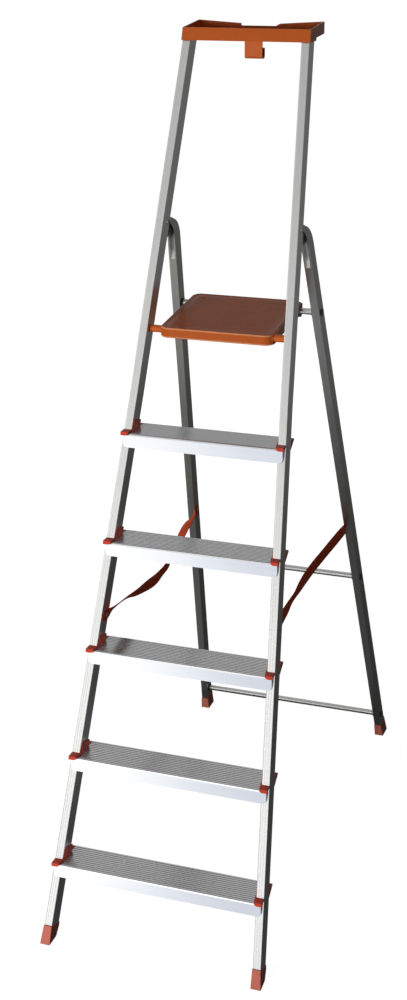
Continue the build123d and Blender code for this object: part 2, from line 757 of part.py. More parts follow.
def pan_outline(inset):
    front = -platform_front + inset
    rear = pan_rear - inset
    corners = [(-platform_half_front + inset, front), (platform_half_front - inset, front),
               (platform_half_rear - inset, rear), (-platform_half_rear + inset, rear)]
    face = make_face(Polyline(*corners, close=True))
    return fillet(face.vertices(), max(platform_corner - inset, platform_wall))


def pan_block(inset, z0, z1):
    return extrude(pan.offset(z0) * pan_outline(inset), amount=z1 - z0, dir=pan_up)


def pan_box(x0, x1, y0, y1, z0, z1):
    face = make_face(pan.offset(z0) * Polyline((x0, y0), (x1, y0), (x1, y1), (x0, y1), close=True))
    return extrude(face, amount=z1 - z0, dir=pan_up)


def pan_round(x, y, radius, z0, z1):
    base = Plane(origin=pan.from_local_coords((x, y, z0)), x_dir=(1, 0, 0), z_dir=pan_up)
    return extrude(base * section(radius, rivet_sides), amount=z1 - z0, dir=pan_up)


def pan_profile(points, x0, x1):
    face = make_face(pan_side.offset(x0) * Polyline(*points, close=True))
    return extrude(face, amount=x1 - x0, dir=(1, 0, 0))


pan_low = platform_top - platform_skirt
pan_under = platform_top - platform_plate
rear_low = platform_top - platform_rear_skirt
platform = pan_block(0, pan_low, platform_top)
top_face = platform.faces().sort_by(Axis((0, pivot_y, pivot_z), pan_up))[-1]
platform = chamfer(top_face.edges(), platform_edge)
platform += pan_block(-platform_lip, pan_low, pan_low + platform_lip_height)
platform -= pan_block(platform_wall, pan_low - cut_margin, pan_under)
# Stiffening ribs under the plate
rib_low = pan_low + under_rib_rise
rib_high = pan_under + platform_plate / 2
ribs = None
for n in range(under_ribs_along):
    x = 2 * hook_inner * ((n + 1) / (under_ribs_along + 1) - 0.5)
    rib = pan_box(x - under_rib_half, x + under_rib_half, -platform_front, pan_rear, rib_low, rib_high)
    ribs = rib if ribs is None else ribs + rib
for n in range(under_ribs_across):
    y = (bar_a - hook_radius) * (n + 1) / (under_ribs_across + 1)
    ribs += pan_box(-platform_half_front, platform_half_front, y - under_rib_half, y + under_rib_half,
                    rib_low, rib_high)
platform += ribs & pan_block(platform_wall / 2, pan_low, platform_top)
# The skirt gets lower towards the bar
skirt_cut = [(bar_a - skirt_rise_start, pan_low - cut_margin), (bar_a - skirt_rise_start, pan_low),
             (bar_a - hook_radius, rear_low), (pan_rear + cut_margin, rear_low),
             (pan_rear + cut_margin, pan_low - cut_margin)]
platform -= pan_profile(skirt_cut, -far, far)
# Ribbed panel on the top, a little below the rim
panel_top = platform_top - platform_panel_drop
panel = pan_block(platform_frame, panel_top, platform_top + cut_margin)
rib_pitch = (platform_front + pan_rear - 2 * platform_frame) / platform_rib_count
ridges = None
for n in range(platform_rib_count):
    y = -platform_front + platform_frame + rib_pitch * (n + 0.5)
    ridge = pan_box(-platform_half_front, platform_half_front,
                    y - platform_rib_width / 2, y + platform_rib_width / 2,
                    panel_top - platform_panel_drop / 2, platform_top - platform_panel_drop / 5)
    ridges = ridge if ridges is None else ridges + ridge
ridges &= pan_block(platform_frame + platform_panel_margin, pan_under, platform_top)
platform = platform - (panel - ridges)
hook_outer = platform_half_rear + hook_side_gap
for side in (1, -1):
    x0, x1 = sorted((side * (hook_inner - hook_clearance), side * far))
    platform -= pan_box(x0, x1, bar_a - hook_radius - hook_side_gap, far, pan_low - cut_margin, pan_under)
    platform -= pan_round(side * platform_hole_x, platform_hole_set, platform_hole_radius,
                          pan_under, platform_top)
    boss_inner, boss_outer = platform_half_front - pin_inside, platform_half_front - platform_wall / 2
    boss_ends = sorted((side * boss_inner, side * boss_outer))
    boss = cyl_x(pivot_y, pivot_z, pin_radius + pin_boss_wall, *boss_ends)
    platform += boss & pan_block(platform_wall / 4, pan_low, rib_high)
    hole_inner = platform_half_front - 2 * pin_inside
    platform -= cyl_x(pivot_y, pivot_z, pin_radius, *sorted((side * hole_inner, side * far)))
platform = one(platform)
save("platform", platform)

# Pins that the platform turns on, with spigots in the stiles' inner walls
pin_x = inner_x(pivot_y, pivot_z)
pin = cyl_x(pivot_y, pivot_z, pin_radius, platform_half_front - pin_inside, pin_x - pin_end_gap)
pin += cyl_x(pivot_y, pivot_z, pin_spigot_radius, pin_x - 2 * pin_end_gap, pin_x + 2 * stile_wall)
save_pair("platform_pin", pin)

# Clips under the platform's rear corners, open downwards over the platform bar
slot_r = bar_radius + hook_clearance
slot_low = bar_b - hook_mouth_run
slot_wide = hook_mouth_run * tan(radians(hook_mouth_angle))
slot = [(bar_a + slot_r, bar_b), (bar_a + slot_r, slot_low), (bar_a - slot_r - slot_wide, slot_low)]
slot += [(bar_a - slot_r, bar_b)]
slot_cut = pan_profile(slot, 0, far) + cyl_x(bar_y, bar_z, slot_r, 0, far)
pad = [(bar_a - hook_radius, bar_b), (bar_a + hook_radius, bar_b), (bar_a + hook_radius, pan_under)]
pad += [(bar_a - hook_radius, pan_under)]
cheek = [(bar_a - hook_radius, bar_b), (bar_a + hook_radius, bar_b)]
cheek += [(bar_a + hook_radius - hook_cheek_rear, platform_top)]
cheek += [(bar_a - hook_radius + hook_cheek_front, platform_top)]
hook = cyl_x(bar_y, bar_z, hook_radius, hook_inner, hook_outer + hook_cheek)
hook += pan_profile(pad, hook_inner, hook_outer) + pan_profile(cheek, hook_outer, hook_outer + hook_cheek)
hook -= slot_cut
hook -= pan_box(0, hook_outer, bar_a - far, bar_a + far, pan_under, far)
hook_screw_x = (hook_inner + hook_outer) / 2
screw_a = bar_a - hook_screw_set
screw_z = pan_under - hook_screw_depth
hook -= pan_round(hook_screw_x, screw_a, screw_radius, screw_z, pan_under)
hook -= pan_round(hook_screw_x, screw_a, screw_head_radius + hook_clearance,
                  screw_z - hook_mouth_run, screw_z)
hook = one(hook)
save_pair("platform_clip", hook)
hook_screw = pan_round(hook_screw_x, screw_a, screw_radius, screw_z, pan_under)
hook_screw += pan_round(hook_screw_x, screw_a, screw_head_radius, screw_z - screw_head_height, screw_z)
hook_screw = one(hook_screw)
save("clip_screws", [hook_screw, one(flip(hook_screw))])

# Tool tray across the stiles' tops
tray_bottom = stile_top_height - tray_bottom_drop
tray_apron = stile_top_height - tray_apron_drop
tray_front_top = stile_top_height + tray_front_rise
tray_back_top = stile_top_height + tray_back_rise
tray_half_width = half_width(tray_apron) + tray_end_cover
tray_front_shift = tray_wall / ca
tray_back = stile_front(tray_front_top) + tray_depth
step_y = stile_front(tray_apron) + stile_span + 2 * tray_front_shift
outer = [
    (stile_front(tray_apron) - tray_front_shift, tray_apron),
    (stile_front(tray_front_top) - tray_front_shift, tray_front_top),
    (tray_back, tray_back_top),
    (tray_back, tray_bottom + tray_floor_rise),
    (step_y, tray_bottom),
    (step_y, tray_apron),
]
tray = side_solid(outer, -tray_half_width, tray_half_width)
under_cut = [
    (stile_front(tray_apron - cut_margin), tray_apron - cut_margin),
    (stile_front(tray_bottom), tray_bottom),
    (step_y + cut_margin, tray_bottom),
    (step_y + cut_margin, tray_apron - cut_margin),
]
socket_inner = half_width(tray_apron) - stile_width - tray_wall
tray -= side_solid(under_cut, -socket_inner, socket_inner)
floor_z = tray_bottom + tray_floor
well_top = tray_back_top + cut_margin
well = [
    (stile_front(floor_z), floor_z),
    (stile_front(well_top), well_top),
    (tray_back - tray_wall, well_top),
    (tray_back - tray_wall, floor_z + tray_floor_rise),
]
tray -= side_solid(well, tray_wall - tray_half_width, tray_half_width - tray_wall)
# Sockets over the stiles' tops
cap_top = tray_front_top - tray_cap_drop
cap_outline = [
    (stile_front(tray_apron) - tray_front_shift / 2, tray_apron),
    (stile_front(cap_top) - tray_front_shift / 2, cap_top),
    (stile_front(cap_top) + stile_span + tray_front_shift, cap_top),
    (step_y, tray_bottom),
    (step_y, tray_apron),
]
for side in (1, -1):
    tray += side_solid(cap_outline, *sorted((side * socket_inner, side * (tray_half_width - tray_wall / 2))))
# Middle notch and dipped edge of the back wall
back_plane = Plane.XZ.offset(-tray_back - cut_margin)
back_cut = cut_margin + 4 * tray_wall
dip_low = tray_back_top - tray_back_dip
for side in (1, -1):
    dip = [(side * tray_notch_half, dip_low), (side * tray_half_width, tray_back_top)]
    dip += [(side * tray_half_width, well_top), (side * tray_notch_half, well_top)]
    tray -= prism(back_plane, dip, back_cut, (0, -1, 0))
notch_low = dip_low - tray_notch_drop
notch = [(-tray_notch_half, well_top), (-tray_notch_half, notch_low)]
notch += [(tray_notch_half - tray_notch_slope, notch_low)]
notch += [(tray_notch_half, dip_low), (tray_notch_half, well_top)]
tray -= prism(back_plane, notch, back_cut, (0, -1, 0))
stile_ends = stile_reach - above(stile_top_height)
tray = one(tray - stile_ends - flip(stile_ends))

# Rivets through the tray's sockets and the stiles' inner walls
rivet_x = inner_x(tray_rivet_y, tray_rivet_height)
tray_hole = cyl_x(tray_rivet_y, tray_rivet_height, rivet_radius, socket_inner - tray_wall,
                  rivet_x + stile_wall, rivet_sides)
tray = tray - tray_hole - flip(tray_hole)
tray_rivet = cyl_x(tray_rivet_y, tray_rivet_height, rivet_radius, socket_inner - rivet_head_height / 2,
                   rivet_x + stile_wall + rivet_tail_length, rivet_sides)
tray_rivet += cyl_x(tray_rivet_y, tray_rivet_height, rivet_head_radius, socket_inner - rivet_head_height,
                    socket_inner, rivet_sides)
tray_rivet = one(tray_rivet)
save("tray_rivets", [tray_rivet, one(flip(tray_rivet))])

# Bucket hook under the tray's middle
hook_y = stile_front(tray_bottom) + bucket_set
bucket_bottom = tray_bottom - bucket_drop
bb, bt = bucket_bend, bucket_thickness
lip_in = hook_y + bt + bucket_gap
lip_out = lip_in + bt
profile = [
    (hook_y, tray_bottom),
    (hook_y, bucket_bottom + bb),
    (hook_y + bb, bucket_bottom),
    (lip_out - bb, bucket_bottom),
    (lip_out, bucket_bottom + bb),
    (lip_out, bucket_bottom + bucket_return),
    (lip_in, bucket_bottom + bucket_return),
    (lip_in, bucket_bottom + bb + bt),
    (lip_in - bb, bucket_bottom + bt),
    (hook_y + bt + bb, bucket_bottom + bt),
    (hook_y + bt, bucket_bottom + bb + bt),
    (hook_y + bt, tray_bottom),
]
bucket = side_solid(profile, -bucket_width / 2, bucket_width / 2)
plate = Box(bucket_width, bucket_flange + bt / 2, bt, align=(Align.CENTER, Align.MIN, Align.MAX))
bucket += plate.moved(Location((0, hook_y - bucket_flange, tray_bottom)))
screws = []
screw_y = hook_y - bucket_flange / 2
for x in (-bucket_screw_gap / 2, bucket_screw_gap / 2):
    hole = cyl_z(x, screw_y, screw_radius, tray_bottom - bt, tray_bottom + 2 * tray_floor)
    bucket -= hole
    tray -= hole
    screw = cyl_z(x, screw_y, screw_radius, tray_bottom - bt, tray_bottom + tray_floor)
    screw += cyl_z(x, screw_y, screw_head_radius, tray_bottom - bt - screw_head_height, tray_bottom - bt)
    screws.append(one(screw))
save("bucket_hook", one(bucket))
save("tool_tray", one(tray))
save("hook_screws", screws)
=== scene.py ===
"""Finishes, platform shell, straps and studio of a folding aluminium platform stepladder."""

import math

import bpy
import numpy as np
from bpy.props import FloatProperty, FloatVectorProperty, PointerProperty
from mathutils import Matrix, Vector


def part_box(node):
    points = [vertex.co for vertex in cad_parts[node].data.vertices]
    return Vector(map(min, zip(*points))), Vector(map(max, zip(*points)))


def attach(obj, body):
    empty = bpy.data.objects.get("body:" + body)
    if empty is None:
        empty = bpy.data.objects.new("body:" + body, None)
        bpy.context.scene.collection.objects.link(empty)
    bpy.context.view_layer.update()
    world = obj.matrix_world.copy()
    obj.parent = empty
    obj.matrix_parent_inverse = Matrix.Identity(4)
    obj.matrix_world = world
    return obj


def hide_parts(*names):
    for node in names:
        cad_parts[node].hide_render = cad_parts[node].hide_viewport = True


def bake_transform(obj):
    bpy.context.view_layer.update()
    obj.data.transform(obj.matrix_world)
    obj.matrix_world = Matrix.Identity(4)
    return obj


bl_info = {
    "name": "Platform stepladder finishes",
    "version": (1, 0, 0),
    "blender": (4, 5, 0),
    "location": "3D View > Sidebar > Stepladder",
    "description": "Gives the stepladder its metal, plastic and webbing and sets up a plain studio",
    "category": "Object",
}

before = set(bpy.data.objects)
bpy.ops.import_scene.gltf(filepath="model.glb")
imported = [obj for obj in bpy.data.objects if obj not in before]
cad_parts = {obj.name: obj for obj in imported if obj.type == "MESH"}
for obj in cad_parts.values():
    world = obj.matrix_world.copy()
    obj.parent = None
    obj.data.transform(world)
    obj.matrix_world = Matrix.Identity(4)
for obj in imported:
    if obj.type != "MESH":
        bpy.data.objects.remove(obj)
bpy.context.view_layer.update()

# Lean of the front stiles and the rear legs in the side view, in degrees
STILE_LEAN = 20.04
LEG_LEAN = 19.08
# Mean sideways taper of the stiles and the legs, in degrees
STILE_TAPER = 3.4
LEG_TAPER = 3.9
# How much rougher the legs and how much smoother the treads are than the other profiles
LEG_ROUGHER, TREAD_SMOOTHER = 0.02, 0.10

# Height of the treads' rib tops and the step between treads, in metres
TREAD_TOP = 0.1773
TREAD_PITCH = 0.2250
# Depths below the rib tops between which the painted shade of the grooves sets in, and between which it ends
GROOVE_SHADE_START, GROOVE_SHADE_END = (0.0004, 0.0007), (0.0016, 0.0020)

# Platform in its own frame: pivot's Y and Z, tilt in degrees, then lengths from the pivot in metres
PLATFORM_PIVOT = (-0.0946446, 1.2853)
PLATFORM_TILT = 5.0994
PAN_FRONT, PAN_REAR = -0.0177, 0.2230
PAN_HALF, PAN_CORNER = 0.1282, 0.0200
PAN_TOP, PAN_UNDER, PAN_LOW = 0.0105, 0.0075, -0.0125
# The skirt rises from its full depth to the low rear edge between these two places
PAN_RISE = (0.1540, 0.1955)
PAN_REAR_LOW = 0.0010
# The panel lies this far inside the outline and this far below the crest of the edge
PAN_INSET, PAN_DROP = 0.0085, 0.0010
# Low ribs across the panel: pitch, height and width, then the plain margin round them and the fade into it
PAN_RIB_PITCH, PAN_RIB_HEIGHT, PAN_RIB_WIDTH = 0.0092, 0.0007, 0.0013
PAN_RIB_MARGIN, PAN_RIB_FADE = 0.0080, 0.0060
# Two shallow holes near the rear corners: X, place along the platform and radius, then depth and rim
PAN_HOLE = (0.098, 0.193, 0.0032)
HOLE_DEPTH, HOLE_RIM = 0.0018, 0.0008
# Rolled edge and skirt from the panel down, in millimetres: offset from the outline, level from the top
PAN_EDGE = ((-10.0, -1.20), (-8.0, -0.80), (-6.2, -0.25), (-4.4, 0.0), (-3.0, -0.12), (-1.7, -0.60),
            (-0.75, -1.50), (-0.2, -2.80), (0.0, -4.40))
# Bead and inner wall, in millimetres: offset from the outline, then level from the skirt's lower edge
PAN_BEAD = ((0.1, 4.6), (0.3, 3.3), (0.8, 2.5), (1.0, 1.5), (0.8, 0.5), (0.2, 0.0),
            (-2.3, 0.0), (-2.9, 0.5), (-3.0, 1.5))
# Top of the inner wall, in millimetres: offset from the outline, level from the panel's underside
PAN_INNER = ((-3.0, -1.2), (-3.8, 0.0), (-10.0, 0.0))
# Points of that profile that get a painted highlight: the shoulder of the edge and the crest of the bead
PAN_HIGHLIGHT_POINTS = (6, 7, 11, 12)
# Stiffening ribs below the panel: half their thickness, X of the long ones and places of the cross ones
WEB_HALF = 0.0010
WEB_LONG = (-0.0535, 0.0, 0.0535)
WEB_CROSS = (0.0391, 0.0782, 0.1173, 0.1564)
# Their gap to the outline, lift above the skirt's lower edge, bite into the panel and start of the slope
WEB_GAP, WEB_LIFT, WEB_BITE, WEB_SLOPE = 0.0025, 0.0060, 0.0005, 0.0190
# Bosses round the platform pins: radius and inner end in X
BOSS_RADIUS, BOSS_INNER = 0.0105, 0.1145

# Clips under the rear corners: the bar's centre, inner and outer radius, mouth angle and reach in X
CLIP_BAR = (0.21404, -0.01137)
CLIP_RADII = (0.00730, 0.0185)
CLIP_MOUTH = 38.0
CLIP_REACH = (0.1070, 0.1250)
# Setback of the clip's upper step from the platform's rear outline, which leaves room for the skirt's wall
CLIP_SETBACK = 0.0031

# Webbing: ribs across its width, pitch of its yarns and of their slant in metres
WEBBING_RIBS = 11
YARN_PITCH, SLANT_PITCH = 0.0017, 0.0030

# Colour of the painted highlight along the platform's rolled edge and bead
EDGE_HIGHLIGHT_PALE = (0.90, 0.46, 0.24)

# Camera: place in metres, turns in degrees, and focal length as a share of the picture's height
CAMERA_PLACE = (1.014075, -3.144787, 2.141603)
CAMERA_YAW = 18.972
CAMERA_PITCH = -21.09
CAMERA_ROLL = -0.407
CAMERA_FOCAL = 1.539184
SENSOR_HEIGHT = 24.0
VIEW_END = 300.0

# Lamps: place and side in metres, and the point that all of them look at
KEY_LAMP = ((-1.6, -4.2, 1.1), 2.2)
REAR_LAMP = ((-2.6, 3.4, 1.2), 2.0)
TOP_LAMP = ((0.4, 0.3, 5.0), 3.0)
LAMP_TARGET = (0.0, 0.0, 0.9)

# Floor as reflections see it, in metres: its pale area lies in front of the feet, with a slanted left edge
PALE_START = (0.56, 0.72)
PALE_EDGE, PALE_SLANT = (-0.50, -0.36), 0.48
PALE_LIGHT, PALE_REST = 1.38, 0.04
# It gets weaker and cooler across a second slanted line, and weaker again far in front
COOL_EDGE, COOL_SLANT, COOL_LOSS = (-0.27, 0.25), 0.40, 0.46
COOL_TINT = (0.86, 0.91, 1.0)
SLANT_FROM = 0.5
FAR_FRONT, FAR_LOSS = (4.2, 7.0), 0.65
# The rest is dark, a little paler far away and in two fields under the ladder, left and middle
FLOOR_DARK = 0.05
AWAY_RISE, AWAY_LIGHT = (0.9, 6.0), 0.105
LEFT_FIELD, LEFT_LIGHT = (-0.30, -0.22), 0.12
MIDDLE_FIELD, MIDDLE_LIGHT = ((-0.04, 0.02), (0.18, 0.23)), 0.06
FIELD_DEPTH = ((-0.55, -0.40), (0.50, 0.60))
# Floor as the camera sees it: white near the ladder and far away, and the share that takes the shadow
WHITE_NEAR, WHITE_GAIN, WHITE_RISE = 0.965, 0.045, (1.2, 3.0)
SHADOW_SHARE = 0.14

# Surroundings as reflections see them: strength in front at the horizon, then its losses with height
FRONT_LIGHT = 1.56
FRONT_LOSSES = ((0.94, (0.18, 0.38)), (0.14, (0.45, 0.62)))
REAR_LIGHT, REAR_GAIN, REAR_RISE = 0.18, 0.27, (0.06, 0.34)
# Where the front passes into the rear, and how much stronger the left is
FRONT_EDGE = (-0.25, 0.45)
LEFT_GAIN = 0.25

# Strap routes from stile to leg: Y, Z and bow towards the middle in metres, twist of the band in degrees
STRAP_LEFT = (
    (-0.3205, 0.6880, 0.000, 0.0), (-0.3065, 0.6870, 0.000, 0.0), (-0.2900, 0.6880, 0.004, 22.0),
    (-0.2700, 0.6876, 0.004, 38.0), (-0.2460, 0.6854, 0.004, 42.0), (-0.1985, 0.6796, 0.004, 44.0),
    (-0.1625, 0.6728, 0.004, 40.0), (-0.1226, 0.6630, 0.004, 22.0), (-0.0816, 0.6552, 0.004, 6.0),
    (-0.0391, 0.6475, 0.004, -8.0), (0.0046, 0.6419, 0.004, -6.0), (0.0488, 0.6424, 0.004, 6.0),
    (0.0918, 0.6454, 0.004, 6.0), (0.1250, 0.6530, 0.004, 30.0), (0.1570, 0.6660, 0.004, 56.0),
    (0.1892, 0.6799, 0.004, 70.0), (0.2189, 0.6890, 0.004, 72.0), (0.2510, 0.6935, 0.003, 66.0),
    (0.2820, 0.6955, 0.002, 42.0), (0.3010, 0.6962, 0.000, 6.0), (0.3226, 0.6970, 0.000, 0.0),
    (0.3366, 0.6975, 0.000, 0.0),
)
STRAP_RIGHT = (
    (-0.3205, 0.6850, 0.000, 0.0), (-0.3065, 0.6870, 0.000, 0.0), (-0.2702, 0.6919, 0.000, -6.0),
    (-0.2284, 0.6966, 0.002, -12.0), (-0.1727, 0.6965, 0.005, -6.0), (-0.1165, 0.6970, 0.008, 8.0),
    (-0.0512, 0.6968, 0.011, -6.0), (0.0060, 0.6974, 0.012, -13.0), (0.0698, 0.6982, 0.011, -13.0),
    (0.1371, 0.7002, 0.007, -12.0), (0.2125, 0.7015, 0.003, -14.0), (0.2997, 0.6995, 0.000, -8.0),
    (0.3226, 0.6970, 0.000, 0.0), (0.3366, 0.6965, 0.000, 0.0),
)


class Term:
    """A socket that takes part in Python sums: every operator adds a Math node."""

    def __init__(self, tree, socket):
        self.tree = tree
        self.socket = socket

    def sum_node(self, operation, *values):
        """A Math node with one operation and its values."""
        node = self.tree.nodes.new("ShaderNodeMath")
        node.operation = operation
        for place, value in enumerate(values):
            plug(self.tree, node.inputs[place], value)
        return Term(self.tree, node.outputs[0])

    def __add__(self, other):
        return self.sum_node("ADD", self, other)

    __radd__ = __add__

    def __sub__(self, other):
        return self.sum_node("SUBTRACT", self, other)

    def __rsub__(self, other):
        return self.sum_node("SUBTRACT", other, self)

    def __mul__(self, other):
        return self.sum_node("MULTIPLY", self, other)

    __rmul__ = __mul__

    def __truediv__(self, other):
        return self.sum_node("DIVIDE", self, other)

    def sine(self):
        return self.sum_node("SINE", self)

    def sign(self):
        return self.sum_node("SIGN", self)

    def size(self):
        """The value without its sign."""
        return self.sum_node("ABSOLUTE", self)

    def step(self, low, high):
        """0 below low, 1 above high and a smooth rise between them."""
        node = self.tree.nodes.new("ShaderNodeMapRange")
        node.interpolation_type = "SMOOTHSTEP"
        for place, value in enumerate((self, low, high, 0.0, 1.0)):
            plug(self.tree, node.inputs[place], value)
        return Term(self.tree, node.outputs[0])


def plug(tree, socket, value):
    """Links a term to a socket, or sets the socket to a plain value."""
    if isinstance(value, Term):
        tree.links.new(value.socket, socket)
    else:
        socket.default_value = value


class Finish:
    """One node tree under construction, with a method that adds any node to it."""

    def __init__(self, tree):
        self.tree = tree

    def node(self, kind, options=None, inputs=None, output=0):
        """Adds a node of a type, sets its options, then sets or links its sockets by name or place."""
        node = self.tree.nodes.new(kind)
        for name, value in (options or {}).items():
            setattr(node, name, value)
        for name, value in (inputs or {}).items():
            plug(self.tree, node.inputs[name], value)
        return Term(self.tree, node.outputs[output])

    def place(self, turn=(0, 0, 0), scale=(1, 1, 1)):
        """Object coordinates, turned by degrees and then scaled."""
        start = self.node("ShaderNodeTexCoord", output="Object")
        turned = self.node("ShaderNodeMapping", {}, {
            "Vector": start, "Rotation": tuple(math.radians(a) for a in turn)})
        return self.node("ShaderNodeMapping", {}, {"Vector": turned, "Scale": scale})

    def part(self, vector, axis):
        """One of a vector's three numbers."""
        return self.node("ShaderNodeSeparateXYZ", {}, {0: vector}, axis)

    def noise(self, vector, scale, detail, roughness):
        """Cloudy noise between 0 and 1, finer with a larger scale and with more detail."""
        inputs = {"Vector": vector, "Scale": scale, "Detail": detail, "Roughness": roughness}
        return self.node("ShaderNodeTexNoise", {}, inputs)

    def blend(self, share, first, second):
        """A colour between two, by a share from 0 to 1."""
        return self.node("ShaderNodeMix", {"data_type": "RGBA"}, {0: share, 6: first, 7: second}, 2)

    def rounded(self, radius):
        """The normal of a piece whose edges are rounded by a small radius."""
        return self.node("ShaderNodeBevel", {"samples": 4}, {"Radius": radius})

    def edges(self, radius):
        """About 1 on the outer edges of a piece and 0 on its faces."""
        plain = self.node("ShaderNodeNewGeometry", output="Normal")
        options = {"operation": "DOT_PRODUCT"}
        along = self.node("ShaderNodeVectorMath", options, {0: self.rounded(radius), 1: plain}, "Value")
        return (1 - along).step(0.02, 0.30)

    def bump(self, height, strength, distance, radius):
        """A bump on top of edges that are rounded by a small radius."""
        return self.node("ShaderNodeBump", {}, {
            "Strength": strength, "Distance": distance, "Height": height, "Normal": self.rounded(radius)})


def colour(values):
    """Three shares of red, green and blue as an opaque colour."""
    return (values[0], values[1], values[2], 1.0)


def shade(values, share):
    """A colour made darker or paler by a share."""
    return colour([v * share for v in values])


def surface(name, inputs, build):
    """A material: a function of its tree gives the inputs that vary, and its constants are set directly."""
    material = bpy.data.materials.new(name)
    material.use_nodes = True
    shader = material.node_tree.nodes["Principled BSDF"]
    for key, value in inputs.items():
        shader.inputs[key].default_value = value
    for key, value in build(Finish(material.node_tree)).items():
        plug(material.node_tree, shader.inputs[key], value)
    return material


def drawn_aluminium(name, base, turn, roughness):
    """Bright drawn metal: fine lines along the profile, a cloudy tone and duller handling marks."""

    def build(tree):
        lines = tree.noise(tree.place(turn, (900.0, 900.0, 3.0)), 1.0, 3.0, 0.6)
        bands = tree.noise(tree.place(turn, (140.0, 140.0, 0.8)), 1.0, 2.0, 0.5)
        clouds = tree.noise(tree.place(turn, (1.0, 1.0, 0.35)), 26.0, 4.0, 0.6)
        marks = tree.noise(tree.place(turn, (1.0, 1.0, 0.2)), 90.0, 5.0, 0.7).step(0.60, 0.72)
        worn = tree.edges(0.0015)
        tone = 0.30 * lines + 0.30 * bands + 0.40 * clouds
        metal = tree.blend(tone, shade(base, 0.88), shade(base, 1.06))
        metal = tree.blend(worn * 0.5, metal, shade(base, 1.12))
        rough = roughness + 0.10 * (lines - 0.5) + 0.12 * (clouds - 0.5) + 0.10 * marks
        bump = tree.bump(lines + 0.6 * bands, 0.08, 0.0004, 0.0006)
        return {"Base Color": metal, "Roughness": rough, "Normal": bump}

    return surface(name, {"Metallic": 1.0}, build)


def ribbed_aluminium(name, base, roughness):
    """Drawn metal of the treads: a cloudy tone, fine lines along the length, and painted shade with more
    roughness in the grooves.
    """

    def build(tree):
        turn = (0, 90, 0)
        lines = tree.noise(tree.place(turn, (160.0, 160.0, 0.7)), 1.0, 2.0, 0.5)
        clouds = tree.noise(tree.place(turn, (1.0, 1.0, 0.30)), 18.0, 4.0, 0.6)
        height = tree.part(tree.place(), 2)
        below = TREAD_TOP + TREAD_PITCH * 0.5 - height
        below = below.sum_node("FLOORED_MODULO", below, TREAD_PITCH) - TREAD_PITCH * 0.5
        level = tree.part(tree.node("ShaderNodeNewGeometry", output="True Normal"), 2).step(0.6, 0.8)
        # Painted shade: the grooves between the ribs on the upward faces are darkened towards a deep grey.
        groove_shade = level * below.step(*GROOVE_SHADE_START) * (1 - below.step(*GROOVE_SHADE_END))
        tone = 0.45 * lines + 0.55 * clouds
        metal = tree.blend(tone, shade(base, 0.92), shade(base, 1.05))
        metal = tree.blend(groove_shade * 0.74, metal, shade(base, 0.22))
        rough = roughness + 0.06 * (lines - 0.5) + 0.08 * (clouds - 0.5) + 0.25 * groove_shade
        return {"Base Color": metal, "Roughness": rough, "Normal": tree.rounded(0.0002)}

    return surface(name, {"Metallic": 1.0}, build)


def moulded_plastic(name, base, roughness, grain, coat=0.0, edge=0.0009, gloss=0.3, painted_edge_highlight=False):
    """Moulded plastic: fine skin, faint flow streaks, paler worn edges, a little dust in the clouds and, if
    asked, a painted highlight.
    """

    def build(tree):
        skin = tree.noise(tree.place(), 2600.0, 2.0, 0.6)
        flow = tree.noise(tree.place((0, 0, 8), (3.0, 14.0, 14.0)), 4.0, 4.0, 0.55)
        clouds = tree.noise(tree.place(), 34.0, 4.0, 0.6)
        scuffs = tree.noise(tree.place((0, 0, 24), (30.0, 260.0, 260.0)), 1.0, 3.0, 0.6).step(0.62, 0.74)
        worn = tree.edges(0.0012)
        tone = 0.5 * flow + 0.5 * clouds
        body = tree.blend(tone, shade(base, 0.86), shade(base, 1.12))
        pale = colour([0.55 * v + 0.20 for v in base])
        body = tree.blend(worn * 0.12 + scuffs * 0.05, body, pale)
        # Painted highlight: pale cream laid where the mesh's point attribute marks the rolled edge and the
        # bead.
        if painted_edge_highlight:
            painted_highlight = tree.node("ShaderNodeAttribute", {"attribute_name": "painted_highlight"}, output="Fac")
            body = tree.blend(painted_highlight * (0.30 + 0.5 * clouds), body, colour(EDGE_HIGHLIGHT_PALE))
        rough = roughness + 0.14 * (clouds - 0.5) + 0.10 * scuffs + 0.05 * (skin - 0.5)
        return {"Base Color": body, "Roughness": rough, "Normal": tree.bump(skin, grain, 0.0002, edge)}

    constants = {"Metallic": 0.0, "Coat Weight": coat, "Coat Roughness": 0.12, "Specular IOR Level": gloss}
    return surface(name, constants, build)


def plated_steel(name, base):
    """Zinc-plated steel of the rivets, screws and pins, with a fine spangle."""

    def build(tree):
        spangle = tree.node("ShaderNodeTexVoronoi", {}, {"Vector": tree.place(), "Scale": 900.0}, "Color")
        grey = tree.node("ShaderNodeRGBToBW", {}, {0: spangle})
        clouds = tree.noise(tree.place(), 120.0, 3.0, 0.6)
        metal = tree.blend(0.5 * grey + 0.5 * clouds, shade(base, 0.75), shade(base, 1.1))
        rough = 0.34 + 0.16 * (clouds - 0.5) + 0.06 * grey
        return {"Base Color": metal, "Roughness": rough, "Normal": tree.bump(clouds, 0.08, 0.0003, 0.0005)}

    return surface(name, {"Metallic": 1.0}, build)


